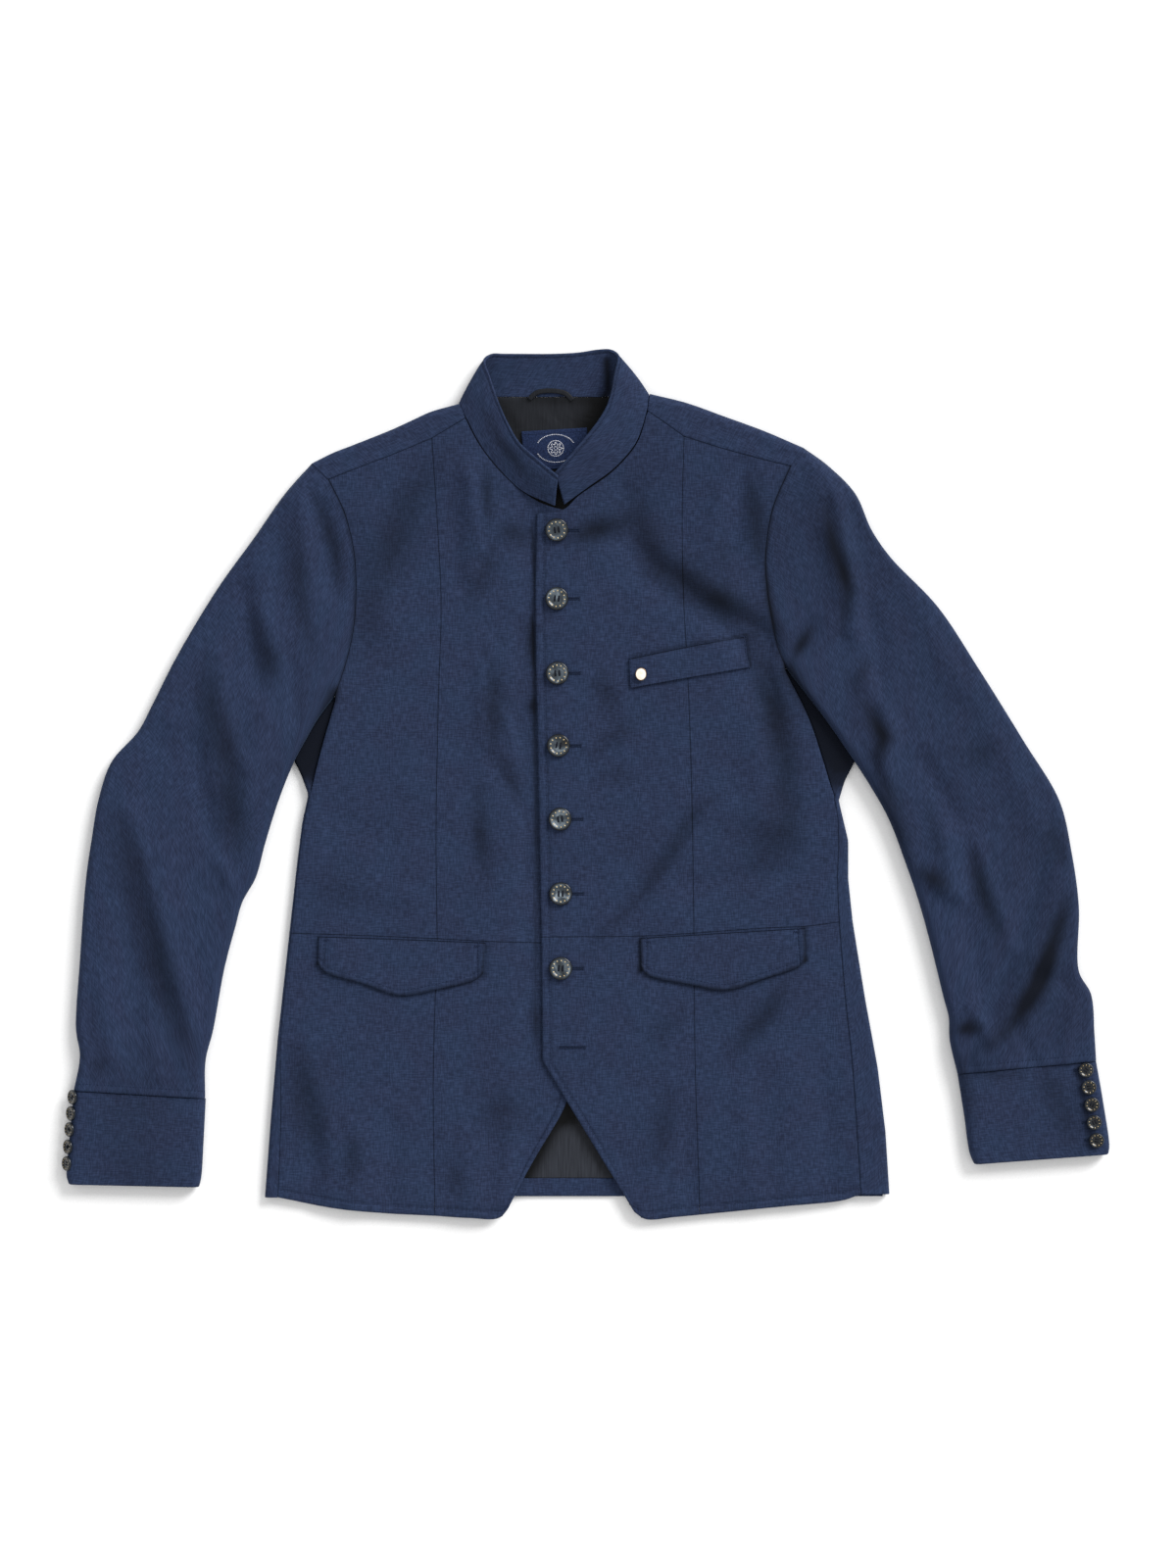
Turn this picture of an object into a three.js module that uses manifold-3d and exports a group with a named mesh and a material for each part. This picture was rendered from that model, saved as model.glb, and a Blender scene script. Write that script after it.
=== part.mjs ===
// A stand-collar blazer with seven front buttons, laid flat on its back with its front up.
// Millimetres, +Z up, collar towards +Y. Right and left are the wearer's: the wearer's right is at -X.
// The cloth rests on z = 0. Each piece of cloth is a wall of its own, parted by a narrow gap at the seams.

import * as THREE from 'three';
import { mergeVertices } from 'three/addons/utils/BufferGeometryUtils.js';
import Module from 'manifold-3d';

const manifold = await Module();
manifold.setup();

// Thickness of the cloths, and the clearances between the pieces
const CLOTH = 1.8;
const BACK_CLOTH = 2.0;
const LINING = 1.0;
const COLLAR_CLOTH = 2.4;
const GAP = 0.3;
const SEAM = GAP / 2;
const LAP_DROP = CLOTH + 1.0;
const LINING_TOP = BACK_CLOTH + GAP + LINING;

// Height of the laid garment, from the floor to the outer face of the cloth on top
const BODY_HEIGHT = 8.8;
const SHOULDER_HEIGHT = 15;
const WEB_HEIGHT = 5.2;
const SLEEVE_HEIGHT = 14;
const CUFF_HEIGHT = 12.6;
const SHOULDER_SLOPE = { start: 25, end: 125 };

// Where the left front laps over the right one, across the width
const LAP = { start: -72, end: -50 };

// How many faces each run of cloth is divided into
const ROWS = { side: 7, armhole: 9, lower: 9, cut: 5, sleeve: 24 };
const COLUMNS = { side: 6, neckSide: 2, neckline: 6, centre: 8, shoulderWrap: 3 };
const ROLL_STEPS = [0, 35, 65, 90].map(THREE.MathUtils.degToRad);
const TURNS = { wrap: 5, shoulder: 7, cap: 3, cuff: 6, underSleeve: 2, seat: 12 };

// Across which distance from an outer fold the lesser folds rise from nothing
const FOLD_FADE = { start: 2, end: 24 };
const SLOPE_STEP = 0.25;

// Buttons, measured by their diameter and height
const FRONT_BUTTON = { diameter: 20.8, height: 3.4, rim: 0.9, dish: 1.0, sides: 14 };
const CUFF_BUTTON = { diameter: 13.4, height: 2.6, rim: 0.7, dish: 0.7, sides: 10 };
const DISH_SHARE = 0.62;

// Edges of the right half, as places on the floor plan [x, y]
const RIGHT = {
  shoulderFold: [[-248, 288], [-229, 297.5], [-211, 304.5], [-176, 318.5], [-158.5, 326.5], [-141, 334.5],
    [-119.5, 340.5]],
  shoulderSeam: [[-232.5, 273], [-211, 281.5], [-176, 295], [-140, 310]],
  neckShoulderSeam: [[-140, 310], [-110, 328]],
  neckline: [[-110, 328], [-97, 303.5], [-73, 274.5], [-44, 253.5], [-22, 246.5], [-7, 244.5]],
  capSeam: [[-248, 288], [-232.5, 273]],
  armhole: [[-232.5, 273], [-218, 242], [-209.5, 202.5], [-209.5, 149.5], [-215.5, 116], [-228, 77.5]],
  backArmhole: [[-248, 288], [-236, 246.5], [-228, 193.5], [-225, 141], [-228, 77.5]],
  side: [[-228, 77.5], [-241, 33.5], [-251.5, -9.5], [-257, -35], [-261.5, -70.5], [-268.5, -134]],
  sideLower: [[-268.5, -134], [-279, -229], [-285, -299], [-290.5, -371.5]],
  princess: [[-140, 310], [-135.5, 237.5], [-132, 158.5], [-134.5, 75], [-136.5, -44], [-135.5, -139]],
  princessLower: [[-135.5, -139], [-139, -264], [-137.5, -388]],
  frontEdge: [[-7, 244.5], [-7, -143.5]],
  frontEdgeLower: [[-7, -143.5], [-7, -251]],
  frontEdgeCut: [[-7, -251], [-21, -290.5], [-48.5, -338], [-72, -382]],
  waist: [[-268.5, -134], [-193.5, -136.5], [-135.5, -139]],
  waistCentre: [[-135.5, -139], [-88, -141.5], [-7, -143.5]],
  hem: [[-290.5, -371.5], [-229, -381], [-185, -385.5], [-137.5, -388]],
  hemCentre: [[-137.5, -388], [-105.5, -390], [-80, -390], [-72, -382]],
};

// Edges of the left half, which laps over the right one
const LEFT = {
  shoulderFold: [[193.5, 302], [158.5, 317], [123, 330], [88, 342.5], [57.5, 350]],
  shoulderSeam: [[181.5, 285], [158.5, 290.5], [123, 300], [86, 311.5]],
  neckShoulderSeam: [[86, 311.5], [53.5, 334.5]],
  neckline: [[53.5, 334.5], [44, 306], [22, 280.5], [-9, 258.5], [-22, 246.5], [-46, 243]],
  capSeam: [[193.5, 302], [181.5, 285]],
  armhole: [[181.5, 285], [165.5, 246.5], [159.5, 202.5], [162, 167], [170.5, 123], [178, 104]],
  backArmhole: [[193.5, 302], [183, 255], [177, 202.5], [175, 149.5], [178, 104]],
  side: [[178, 104], [202.5, 54.5], [218, 4.5], [234, -51], [234, -85.5], [238, -124]],
  sideLower: [[238, -124], [249, -192], [260.5, -255], [267.5, -312.5], [271, -368.5]],
  princess: [[86, 311.5], [84.5, 237.5], [86, 163], [90, 88], [93.5, -26.5], [95, -134]],
  princessLower: [[95, -134], [96, -246.5], [100.5, -387]],
  frontEdge: [[-46, 243], [-47.5, 158.5], [-45, 17.5], [-42, -137.5]],
  frontEdgeLower: [[-42, -137.5], [-41, -249]],
  frontEdgeCut: [[-41, -249], [-19.5, -284.5], [31, -367], [41.5, -384.5]],
  waist: [[238, -124], [193.5, -128], [158.5, -129.5], [95, -134]],
  waistCentre: [[95, -134], [53, -136.5], [-42, -137.5]],
  hem: [[271, -368.5], [229, -374], [176, -379.5], [100.5, -387]],
  hemCentre: [[100.5, -387], [79, -389], [52, -391], [41.5, -384.5]],
};

// Side seams: where the back, wrapped round the side fold, meets the front.
// fold is the outermost place, strip the breadth of back that shows on top, height that of the fold.
const RIGHT_WRAP = [
  { fold: [-228, 77.5], strip: 1.5, height: WEB_HEIGHT },
  { fold: [-247, 48], strip: 11.8, height: WEB_HEIGHT },
  { fold: [-263, 22], strip: 20.7, height: WEB_HEIGHT },
  { fold: [-258, 8], strip: 12.3, height: WEB_HEIGHT },
  { fold: [-251.5, -9.5], strip: 1.5, height: BODY_HEIGHT },
  { fold: [-257, -35], strip: 1.5, height: BODY_HEIGHT },
  { fold: [-261.5, -70.5], strip: 1.5, height: BODY_HEIGHT },
  { fold: [-268.5, -134], strip: 1.5, height: BODY_HEIGHT },
  { fold: [-279, -229], strip: 3, height: BODY_HEIGHT },
  { fold: [-285, -299], strip: 9, height: BODY_HEIGHT },
  { fold: [-290.5, -371.5], strip: 12, height: BODY_HEIGHT },
];

const LEFT_WRAP = [
  { fold: [178, 104], strip: 1.5, height: WEB_HEIGHT },
  { fold: [212, 60], strip: 13.7, height: WEB_HEIGHT },
  { fold: [238.5, 21], strip: 27, height: WEB_HEIGHT },
  { fold: [231, 3], strip: 14.1, height: WEB_HEIGHT },
  { fold: [225.5, -15], strip: 3, height: BODY_HEIGHT },
  { fold: [234, -51], strip: 9, height: BODY_HEIGHT },
  { fold: [234, -85.5], strip: 10, height: BODY_HEIGHT },
  { fold: [238, -124], strip: 12.5, height: BODY_HEIGHT },
  { fold: [249, -192], strip: 18, height: BODY_HEIGHT },
  { fold: [260.5, -255], strip: 23, height: BODY_HEIGHT },
  { fold: [267.5, -312.5], strip: 26, height: BODY_HEIGHT },
  { fold: [271, -368.5], strip: 26, height: BODY_HEIGHT },
];

// Sections of each sleeve from the armhole down to its hem: its outer and its inner fold.
const RIGHT_SLEEVE = [
  { outer: [-248, 288], inner: [-228, 77.5] },
  { outer: [-272, 261], inner: [-235, 68.5] },
  { outer: [-299, 222.5], inner: [-244, 56] },
  { outer: [-332.5, 176], inner: [-253.5, 39.5] },
  { outer: [-369.5, 114.5], inner: [-264, 20] },
  { outer: [-391, 72], inner: [-275.5, -8] },
  { outer: [-404, 47.5], inner: [-283, -30] },
  { outer: [-428, 20], inner: [-290.5, -55] },
  { outer: [-440, -15], inner: [-298.5, -84] },
  { outer: [-446, -50], inner: [-310.5, -106] },
  { outer: [-451, -85], inner: [-317, -129] },
  { outer: [-456.5, -158.5], inner: [-326.5, -165] },
  { outer: [-460, -220], inner: [-337, -222] },
  { outer: [-456.5, -244.5], inner: [-343.5, -248] },
  { outer: [-462, -275.5], inner: [-344, -282.5] },
];

const LEFT_SLEEVE = [
  { outer: [193.5, 302], inner: [178, 104] },
  { outer: [215.5, 286], inner: [183, 97] },
  { outer: [240, 261], inner: [190, 88] },
  { outer: [255, 228], inner: [201, 74] },
  { outer: [272, 203.5], inner: [214, 57] },
  { outer: [314, 159.5], inner: [230, 34] },
  { outer: [352, 102], inner: [251, 2.5] },
  { outer: [391.5, 38.5], inner: [270, -31] },
  { outer: [423.5, -15], inner: [285, -70] },
  { outer: [434.5, -61.5], inner: [297, -105] },
  { outer: [441, -110], inner: [307, -141] },
  { outer: [441, -168], inner: [319.5, -192] },
  { outer: [452, -189], inner: [324, -209] },
  { outer: [455, -224], inner: [325, -230] },
  { outer: [456.5, -249], inner: [332, -260.5] },
];

// Sections of each cuff from the sleeve's hem to the wrist
const RIGHT_CUFF = [
  { outer: [-462, -275.8], inner: [-343.5, -282.8] },
  { outer: [-466, -318], inner: [-345.5, -322] },
  { outer: [-468.5, -352], inner: [-347.5, -353] },
  { outer: [-461, -360], inner: [-349.5, -362] },
];

const LEFT_CUFF = [
  { outer: [456.6, -249.3], inner: [332.1, -260.8] },
  { outer: [463, -286], inner: [338, -298] },
  { outer: [468, -324], inner: [342.5, -330] },
  { outer: [461, -333.5], inner: [347, -341.5] },
];

// Sections of the collar from its right end, round the back of the neck, to its left end.
// base is its seam with the body and top its free edge, both at the middle of the cloth.
const COLLAR = [
  { base: [-34.2, 250.2, 12.2], top: [-26.5, 276, 21] },
  { base: [-57.5, 263, 10.9], top: [-48.5, 294, 21] },
  { base: [-72.4, 275.3, 11.8], top: [-61.5, 306, 21] },
  { base: [-85.1, 289.1, 12.9], top: [-72, 324, 21] },
  { base: [-96.6, 304.8, 13.9], top: [-81, 345, 20] },
  { base: [-108.1, 326.6, 14.3], top: [-88, 366, 17] },
  { base: [-115, 341, 9.5], top: [-92, 380, 12] },
  { base: [-104.5, 348.8, 2.3], top: [-86, 386.5, 6.5] },
  { base: [-81, 348.4, 1.4], top: [-75, 386.8, 4.6] },
  { base: [-57, 348.4, 1.3], top: [-53, 386.8, 4.2] },
  { base: [-32.5, 348.4, 1.3], top: [-32.5, 386.8, 4.2] },
  { base: [-7, 348.4, 1.3], top: [-9, 388, 4.2] },
  { base: [16, 348.4, 1.4], top: [9, 390.6, 4.6] },
  { base: [42, 350.5, 2.3], top: [20, 390.4, 6.5] },
  { base: [54, 349, 9.5], top: [26.5, 384, 12] },
  { base: [52.1, 333.4, 14.3], top: [24, 370, 17] },
  { base: [43.4, 307.4, 14], top: [18, 342, 20] },
  { base: [34.1, 294.5, 13.3], top: [10.5, 327.5, 21] },
  { base: [21.1, 281.6, 12.2], top: [0, 313.5, 21] },
  { base: [-0.4, 266.3, 10.8], top: [-14, 297, 19.5] },
  { base: [-16.4, 252.6, 9.6], top: [-30, 279, 16.2] },
];
const COLLAR_STEPS = { around: 40, across: 3, bow: 1.2 };

// Folds and hollows of the laid cloth: from one place to another, half as broad as width, raised by rise
const FOLDS = [
  { from: [-106, 282], to: [-88, 229], width: 16, rise: 1.4 },
  { from: [-70, 140], to: [-58, 0], width: 13, rise: -1.1 },
  { from: [35, 264], to: [88, 176], width: 18, rise: -1.3 },
  { from: [88, 176], to: [150, 123], width: 20, rise: -1.4 },
  { from: [150, 123], to: [176, 0], width: 20, rise: -1.2 },
  { from: [60, 190], to: [118, 140], width: 14, rise: 1.2 },
  { from: [80, -62], to: [18, -123], width: 14, rise: 1.2 },
  { from: [-211, -317], to: [-209, -380], width: 14, rise: 1.3 },
  { from: [-106, -330], to: [-102, -385], width: 13, rise: 1.3 },
  { from: [180, -250], to: [186, -375], width: 16, rise: 1.2 },
  { from: [-262, 262], to: [-260, 176], width: 12, rise: 2.2 },
  { from: [-238, 246], to: [-229, 176], width: 10, rise: -1.6 },
  { from: [-299, 211], to: [-290, 132], width: 13, rise: 1.8 },
  { from: [-339, 97], to: [-334, 0], width: 13, rise: 1.8 },
  { from: [-383, -62], to: [-374, -176], width: 14, rise: 1.8 },
  { from: [-366, -176], to: [-352, -246], width: 11, rise: 1.6 },
  { from: [-405, 44], to: [-372, 30], width: 11, rise: -2.4 },
  { from: [-312, -101], to: [-345, -92], width: 10, rise: -2 },
  { from: [207, 280], to: [229, 176], width: 13, rise: 2 },
  { from: [180, 110], to: [202, 141], width: 10, rise: -1.6 },
  { from: [246, 97], to: [262, 20], width: 14, rise: 1.8 },
  { from: [317, -44], to: [330, -92], width: 12, rise: 2 },
  { from: [299, -92], to: [330, -92], width: 9, rise: 1.6 },
  { from: [427, -88], to: [405, -158], width: 14, rise: 1.8 },
  { from: [405, -158], to: [361, -238], width: 14, rise: 1.8 },
  { from: [441, -172], to: [412, -176], width: 10, rise: -2 },
];
const LONGEST_RISE = 3;

// Placket buttons down the left front, and cuff buttons beside each cuff's outer fold
const FRONT_BUTTONS = [[-28, 228], [-28, 166.5], [-27.5, 99.5], [-26.5, 34.5], [-25, -31.5], [-24.5, -98.5],
  [-24.5, -165.5]];
const RIGHT_CUFF_BUTTONS = {
  y: [-281, -295.5, -310, -325.5, -340.5], inFromFold: CUFF_HEIGHT / 2, tilt: -50,
};
const LEFT_CUFF_BUTTONS = { y: [-256.5, -272, -287.5, -303.5, -319.5], inFromFold: 11.5, tilt: 0 };

// Pocket flaps and the breast welt: top edge, free edge and the two ends
const RIGHT_FLAP = {
  top: [[-242, -137.5], [-168, -140], [-92.5, -143]],
  free: [[-242.5, -162], [-236, -169], [-202.5, -179.5], [-169, -190], [-132, -184], [-102, -176],
    [-94, -170]],
};
const LEFT_FLAP = {
  top: [[46.5, -139], [120, -134.5], [194.5, -130]],
  free: [[47.5, -166], [55, -172.5], [92.5, -180.5], [123, -185.5], [158.5, -175], [189, -164],
    [195, -158]],
};
const WELT = { top: [[37, 112], [88, 122.5], [141.5, 132]], free: [[38, 86], [88, 95], [144.5, 104.5]] };
const FLAP_STEPS = { across: 10, down: 2 };

// Small pieces
const PIN = { centre: [47.5, 98.5], breadth: 10, length: 11.5, height: 1.6, sides: 12 };
const LABEL = { corners: [[-60, 317], [-1, 320.5], [2, 285], [-57, 281.5]], thickness: 1.0 };
const LOOP = {
  path: [[-53, 346], [-46, 352], [-31, 353.5], [-20, 351], [-14, 345]], width: 4.4, thickness: 1.1, steps: 10,
};
const LOOP_FLOOR = LINING_TOP + GAP;
const NECK_EDGE = 347.9;
const BACK_HEM = -370.5;
const HEM_STRIP_TOP = -354.5;
const LINING_INSET = 15;
const WRAP_OVERLAP = 3;
const ARMHOLE_REACH = 0.35;

const NAVY = { color: 0x2c3a58, roughness: 0.9, metalness: 0 };
const CHARCOAL = { color: 0x24282f, roughness: 0.6, metalness: 0 };
const HORN = { color: 0x3a3f47, roughness: 0.4, metalness: 0 };
const LABEL_BLUE = { color: 0x1f2b4a, roughness: 0.7, metalness: 0 };
const ENAMEL = { color: 0xf2ece0, roughness: 0.3, metalness: 0.1 };

// Curves

const vector = ([x, y, z = 0]) => new THREE.Vector3(x, y, z);

function sample(points, count) {
  const curve = new THREE.CatmullRomCurve3(points.map(vector), false, 'centripetal');
  return curve.getSpacedPoints(count);
}

// Joins sampled stretches end to end, so that a corner stays a corner.
function chain(...stretches) {
  return stretches.flatMap((stretch, index) => (index === 0 ? stretch : stretch.slice(1)));
}

const reversed = (points) => [...points].reverse();

// Linear reading of a table of [x, y] places: gives the value column at a key, held beyond its ends.
function readTable(table, key, keyColumn) {
  const valueColumn = 1 - keyColumn;
  const rows = [...table].sort((a, b) => a[keyColumn] - b[keyColumn]);
  if (key <= rows[0][keyColumn]) {
    return rows[0][valueColumn];
  }
  for (let index = 1; index < rows.length; index += 1) {
    const [low, high] = [rows[index - 1], rows[index]];
    if (key <= high[keyColumn]) {
      const share = (key - low[keyColumn]) / (high[keyColumn] - low[keyColumn]);
      return THREE.MathUtils.lerp(low[valueColumn], high[valueColumn], share);
    }
  }
  return rows[rows.length - 1][valueColumn];
}

// Height of the laid cloth

const SIDE_FOLDS = { right: [...RIGHT.side, ...RIGHT.sideLower.slice(1)],
  left: [...LEFT.side, ...LEFT.sideLower.slice(1)] };
const SHOULDER_FOLD = [...RIGHT.shoulderFold, ...reversed(LEFT.shoulderFold)];

function distanceToFold(x, y, fold, inward) {
  const [underarmX, underarmY] = fold[0];
  if (y > underarmY) {
    return Math.hypot(x - underarmX, y - underarmY);
  }
  return inward * (x - readTable(fold, y, 1));
}

// A height that rolls down to half of itself, as a half circle, at an edge that is distance away.
function rollDown(height, distance) {
  const radius = height / 2;
  if (distance >= radius) {
    return height;
  }
  const inward = radius - Math.max(distance, 0);
  return radius + Math.sqrt(radius * radius - inward * inward);
}

function foldRise(x, y) {
  let rise = 0;
  for (const fold of FOLDS) {
    const [fromX, fromY] = fold.from;
    const [runX, runY] = [fold.to[0] - fromX, fold.to[1] - fromY];
    const along = ((x - fromX) * runX + (y - fromY) * runY) / (runX * runX + runY * runY);
    const share = THREE.MathUtils.clamp(along, 0, 1);
    const away = Math.hypot(x - fromX - runX * share, y - fromY - runY * share);
    rise += fold.rise * Math.exp(-((away / fold.width) ** 2));
  }
  return THREE.MathUtils.clamp(rise, -LONGEST_RISE, LONGEST_RISE);
}

const fadedIn = (distance) => THREE.MathUtils.smoothstep(distance, FOLD_FADE.start, FOLD_FADE.end);

function bodyHeight(x, y) {
  const toShoulder = readTable(SHOULDER_FOLD, x, 0) - y;
  const toRight = distanceToFold(x, y, SIDE_FOLDS.right, 1);
  const toLeft = distanceToFold(x, y, SIDE_FOLDS.left, -1);
  const nearShoulder = 1 - THREE.MathUtils.smoothstep(toShoulder, SHOULDER_SLOPE.start, SHOULDER_SLOPE.end);
  const height = THREE.MathUtils.lerp(BODY_HEIGHT, SHOULDER_HEIGHT, nearShoulder);
  const toEdge = Math.min(toShoulder, toRight, toLeft);
  return rollDown(height, toEdge) + foldRise(x, y) * fadedIn(toEdge);
}

// The right front lies under the left one, from the buttons to its own edge.
function rightFrontHeight(x, y) {
  return bodyHeight(x, y) - LAP_DROP * THREE.MathUtils.smoothstep(x, LAP.start, LAP.end);
}

// Walls of cloth

// Two matching grids of places, the outer and the inner face of a wall, closed all round its edge.
function wall(outer, inner) {
  const rows = outer.length;
  const columns = outer[0].length;
  const corners = [...outer.flat(), ...inner.flat()];
  const [top, end] = [rows - 1, columns - 1];
  const index = (face, row, column) => face * rows * columns + row * columns + column;
  const faces = [];
  const quad = (a, b, c, d) => faces.push(a, b, c, a, c, d);
  for (let row = 0; row < top; row += 1) {
    const above = row + 1;
    for (let column = 0; column < end; column += 1) {
      const next = column + 1;
      quad(index(0, row, column), index(0, row, next), index(0, above, next), index(0, above, column));
      quad(index(1, row, column), index(1, above, column), index(1, above, next), index(1, row, next));
    }
  }
  for (let row = 0; row < top; row += 1) {
    const above = row + 1;
    quad(index(0, row, 0), index(0, above, 0), index(1, above, 0), index(1, row, 0));
    quad(index(0, above, end), index(0, row, end), index(1, row, end), index(1, above, end));
  }
  for (let column = 0; column < end; column += 1) {
    const next = column + 1;
    quad(index(0, 0, next), index(0, 0, column), index(1, 0, column), index(1, 0, next));
    quad(index(0, top, column), index(0, top, next), index(1, top, next), index(1, top, column));
  }
  return facingOut(corners, faces);
}

// Two matching grids whose columns close on themselves: a tube with a wall, open at both ends.
function tube(outer, inner) {
  const rows = outer.length;
  const columns = outer[0].length;
  const corners = [...outer.flat(), ...inner.flat()];
  const end = rows - 1;
  const index = (face, row, column) => face * rows * columns + row * columns + (column % columns);
  const faces = [];
  const quad = (a, b, c, d) => faces.push(a, b, c, a, c, d);
  for (let column = 0; column < columns; column += 1) {
    const next = column + 1;
    for (let row = 0; row < end; row += 1) {
      const above = row + 1;
      quad(index(0, row, column), index(0, row, next), index(0, above, next), index(0, above, column));
      quad(index(1, row, column), index(1, above, column), index(1, above, next), index(1, row, next));
    }
    quad(index(0, 0, next), index(0, 0, column), index(1, 0, column), index(1, 0, next));
    quad(index(0, end, column), index(0, end, next), index(1, end, next), index(1, end, column));
  }
  return facingOut(corners, faces);
}

// A geometry from corners and faces, turned so that its faces point out.
function facingOut(corners, faces) {
  let volume = 0;
  for (let face = 0; face < faces.length; face += 3) {
    const [a, b, c] = [corners[faces[face]], corners[faces[face + 1]], corners[faces[face + 2]]];
    volume += a.dot(new THREE.Vector3().crossVectors(b, c));
  }
  const turned = volume < 0 ? reversed(faces) : faces;
  const places = corners.flatMap((corner) => corner.toArray());
  const geometry = new THREE.BufferGeometry();
  geometry.setAttribute('position', new THREE.Float32BufferAttribute(places, 3));
  geometry.setIndex(turned);
  return geometry;
}

// A patch of plan places between four edges. bottom and top run alike, and so do left and right.
function patch({ bottom, top, left, right }) {
  const columns = bottom.length - 1;
  const rows = left.length - 1;
  return left.map((_, row) => bottom.map((__, column) => {
    const u = column / columns;
    const v = row / rows;
    const between = new THREE.Vector3().lerpVectors(bottom[column], top[column], v);
    const across = new THREE.Vector3().lerpVectors(left[row], right[row], u);
    const low = new THREE.Vector3().lerpVectors(bottom[0], bottom[columns], u);
    const high = new THREE.Vector3().lerpVectors(top[0], top[columns], u);
    return between.add(across).sub(low.lerp(high, v));
  }));
}

// Draws the rim of a grid in by half the gap of a seam.
function drawnIn(grid, distance = SEAM) {
  const copy = grid.map((row) => row.map((point) => point.clone()));
  const towards = (point, next) => next.clone().sub(point).setLength(distance);
  const last = grid.length - 1;
  const end = grid[0].length - 1;
  grid.forEach((row, index) => {
    copy[index][0].add(towards(row[0], row[1]));
    copy[index][end].add(towards(row[end], row[end - 1]));
  });
  grid[0].forEach((_, column) => {
    copy[0][column].add(towards(grid[0][column], grid[1][column]));
    copy[last][column].add(towards(grid[last][column], grid[last - 1][column]));
  });
  return copy;
}

// The slope of a height over the plan, as the direction that points out of the cloth.
function outward(height, { x, y }) {
  const step = SLOPE_STEP;
  const slopeX = (height(x + step, y) - height(x - step, y)) / (2 * step);
  const slopeY = (height(x, y + step) - height(x, y - step)) / (2 * step);
  return new THREE.Vector3(-slopeX, -slopeY, 1).normalize();
}

// A wall over a grid of plan places: its outer face lies at the given height, raised by lift.
function clothOver(plan, height, thickness, lift = 0) {
  const outer = [];
  const inner = [];
  for (const row of plan) {
    const faces = row.map((place) => {
      const normal = outward(height, place);
      const foot = new THREE.Vector3(place.x, place.y, height(place.x, place.y));
      const within = foot.clone().addScaledVector(normal, lift - thickness);
      return { foot: foot.addScaledVector(normal, lift), within };
    });
    outer.push(faces.map((face) => face.foot));
    inner.push(faces.map((face) => face.within));
  }
  return wall(outer, inner);
}

// A flat slab of cloth from an outline on the plan.
function slab(outline, floor, thickness) {
  const shape = new THREE.Shape(outline.map((point) => new THREE.Vector2(point.x, point.y)));
  const geometry = new THREE.ExtrudeGeometry(shape, { depth: thickness, bevelEnabled: false });
  return geometry.translate(0, 0, floor);
}

// Solids to be joined

function toSolid(geometry) {
  const bare = geometry.clone();
  bare.deleteAttribute('normal');
  bare.deleteAttribute('uv');
  const merged = mergeVertices(bare, 1e-4);
  const mesh = new manifold.Mesh({
    numProp: 3,
    vertProperties: Float32Array.from(merged.attributes.position.array),
    triVerts: Uint32Array.from(merged.index.array),
  });
  return new manifold.Manifold(mesh);
}

function toGeometry(solid) {
  const mesh = solid.getMesh();
  const geometry = new THREE.BufferGeometry();
  geometry.setAttribute('position', new THREE.BufferAttribute(Float32Array.from(mesh.vertProperties), 3));
  geometry.setIndex(new THREE.BufferAttribute(Uint32Array.from(mesh.triVerts), 1));
  return geometry;
}

// Front panels

function sideUpper(half, height) {
  const left = chain(reversed(sample(half.side, ROWS.side)), reversed(sample(half.armhole, ROWS.armhole)));
  const plan = patch({
    bottom: sample(half.waist, COLUMNS.side),
    top: sample(half.shoulderSeam, COLUMNS.side),
    left,
    right: reversed(sample(half.princess, ROWS.side + ROWS.armhole)),
  });
  return clothOver(drawnIn(plan), height, CLOTH);
}

function centreUpper(half, height) {
  const rows = ROWS.side + ROWS.armhole;
  const plan = patch({
    bottom: sample(half.waistCentre, COLUMNS.centre),
    top: chain(sample(half.neckShoulderSeam, COLUMNS.neckSide), sample(half.neckline, COLUMNS.neckline)),
    left: reversed(sample(half.princess, rows)),
    right: reversed(sample(half.frontEdge, rows)),
  });
  return clothOver(drawnIn(plan), height, CLOTH);
}

function sideLower(half, height) {
  const plan = patch({
    bottom: sample(half.hem, COLUMNS.side),
    top: sample(half.waist, COLUMNS.side),
    left: reversed(sample(half.sideLower, ROWS.lower)),
    right: reversed(sample(half.princessLower, ROWS.lower)),
  });
  return clothOver(drawnIn(plan), height, CLOTH);
}

function centreLower(half, height) {
  const edge = chain(sample(half.frontEdgeLower, ROWS.lower - ROWS.cut), sample(half.frontEdgeCut, ROWS.cut));
  const plan = patch({
    bottom: sample(half.hemCentre, COLUMNS.centre),
    top: sample(half.waistCentre, COLUMNS.centre),
    left: reversed(sample(half.princessLower, ROWS.lower)),
    right: reversed(edge),
  });
  return clothOver(drawnIn(plan), height, CLOTH);
}

// The front reaches the side seam, not the fold itself.
function withSideSeam(half, wrap, inward) {
  const seam = wrap.map(({ fold, strip }) => [fold[0] + inward * strip, fold[1]]);
  const waistLevel = half.waist[0][1];
  const side = seam.filter(([, y]) => y >= waistLevel);
  const sideLower = seam.filter(([, y]) => y <= waistLevel);
  const waist = [sideLower[0], ...half.waist.slice(1)];
  const hem = [sideLower[sideLower.length - 1], ...half.hem.slice(1)];
  return { ...half, side, sideLower, waist, hem, wrap, inward };
}

// The back

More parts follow.
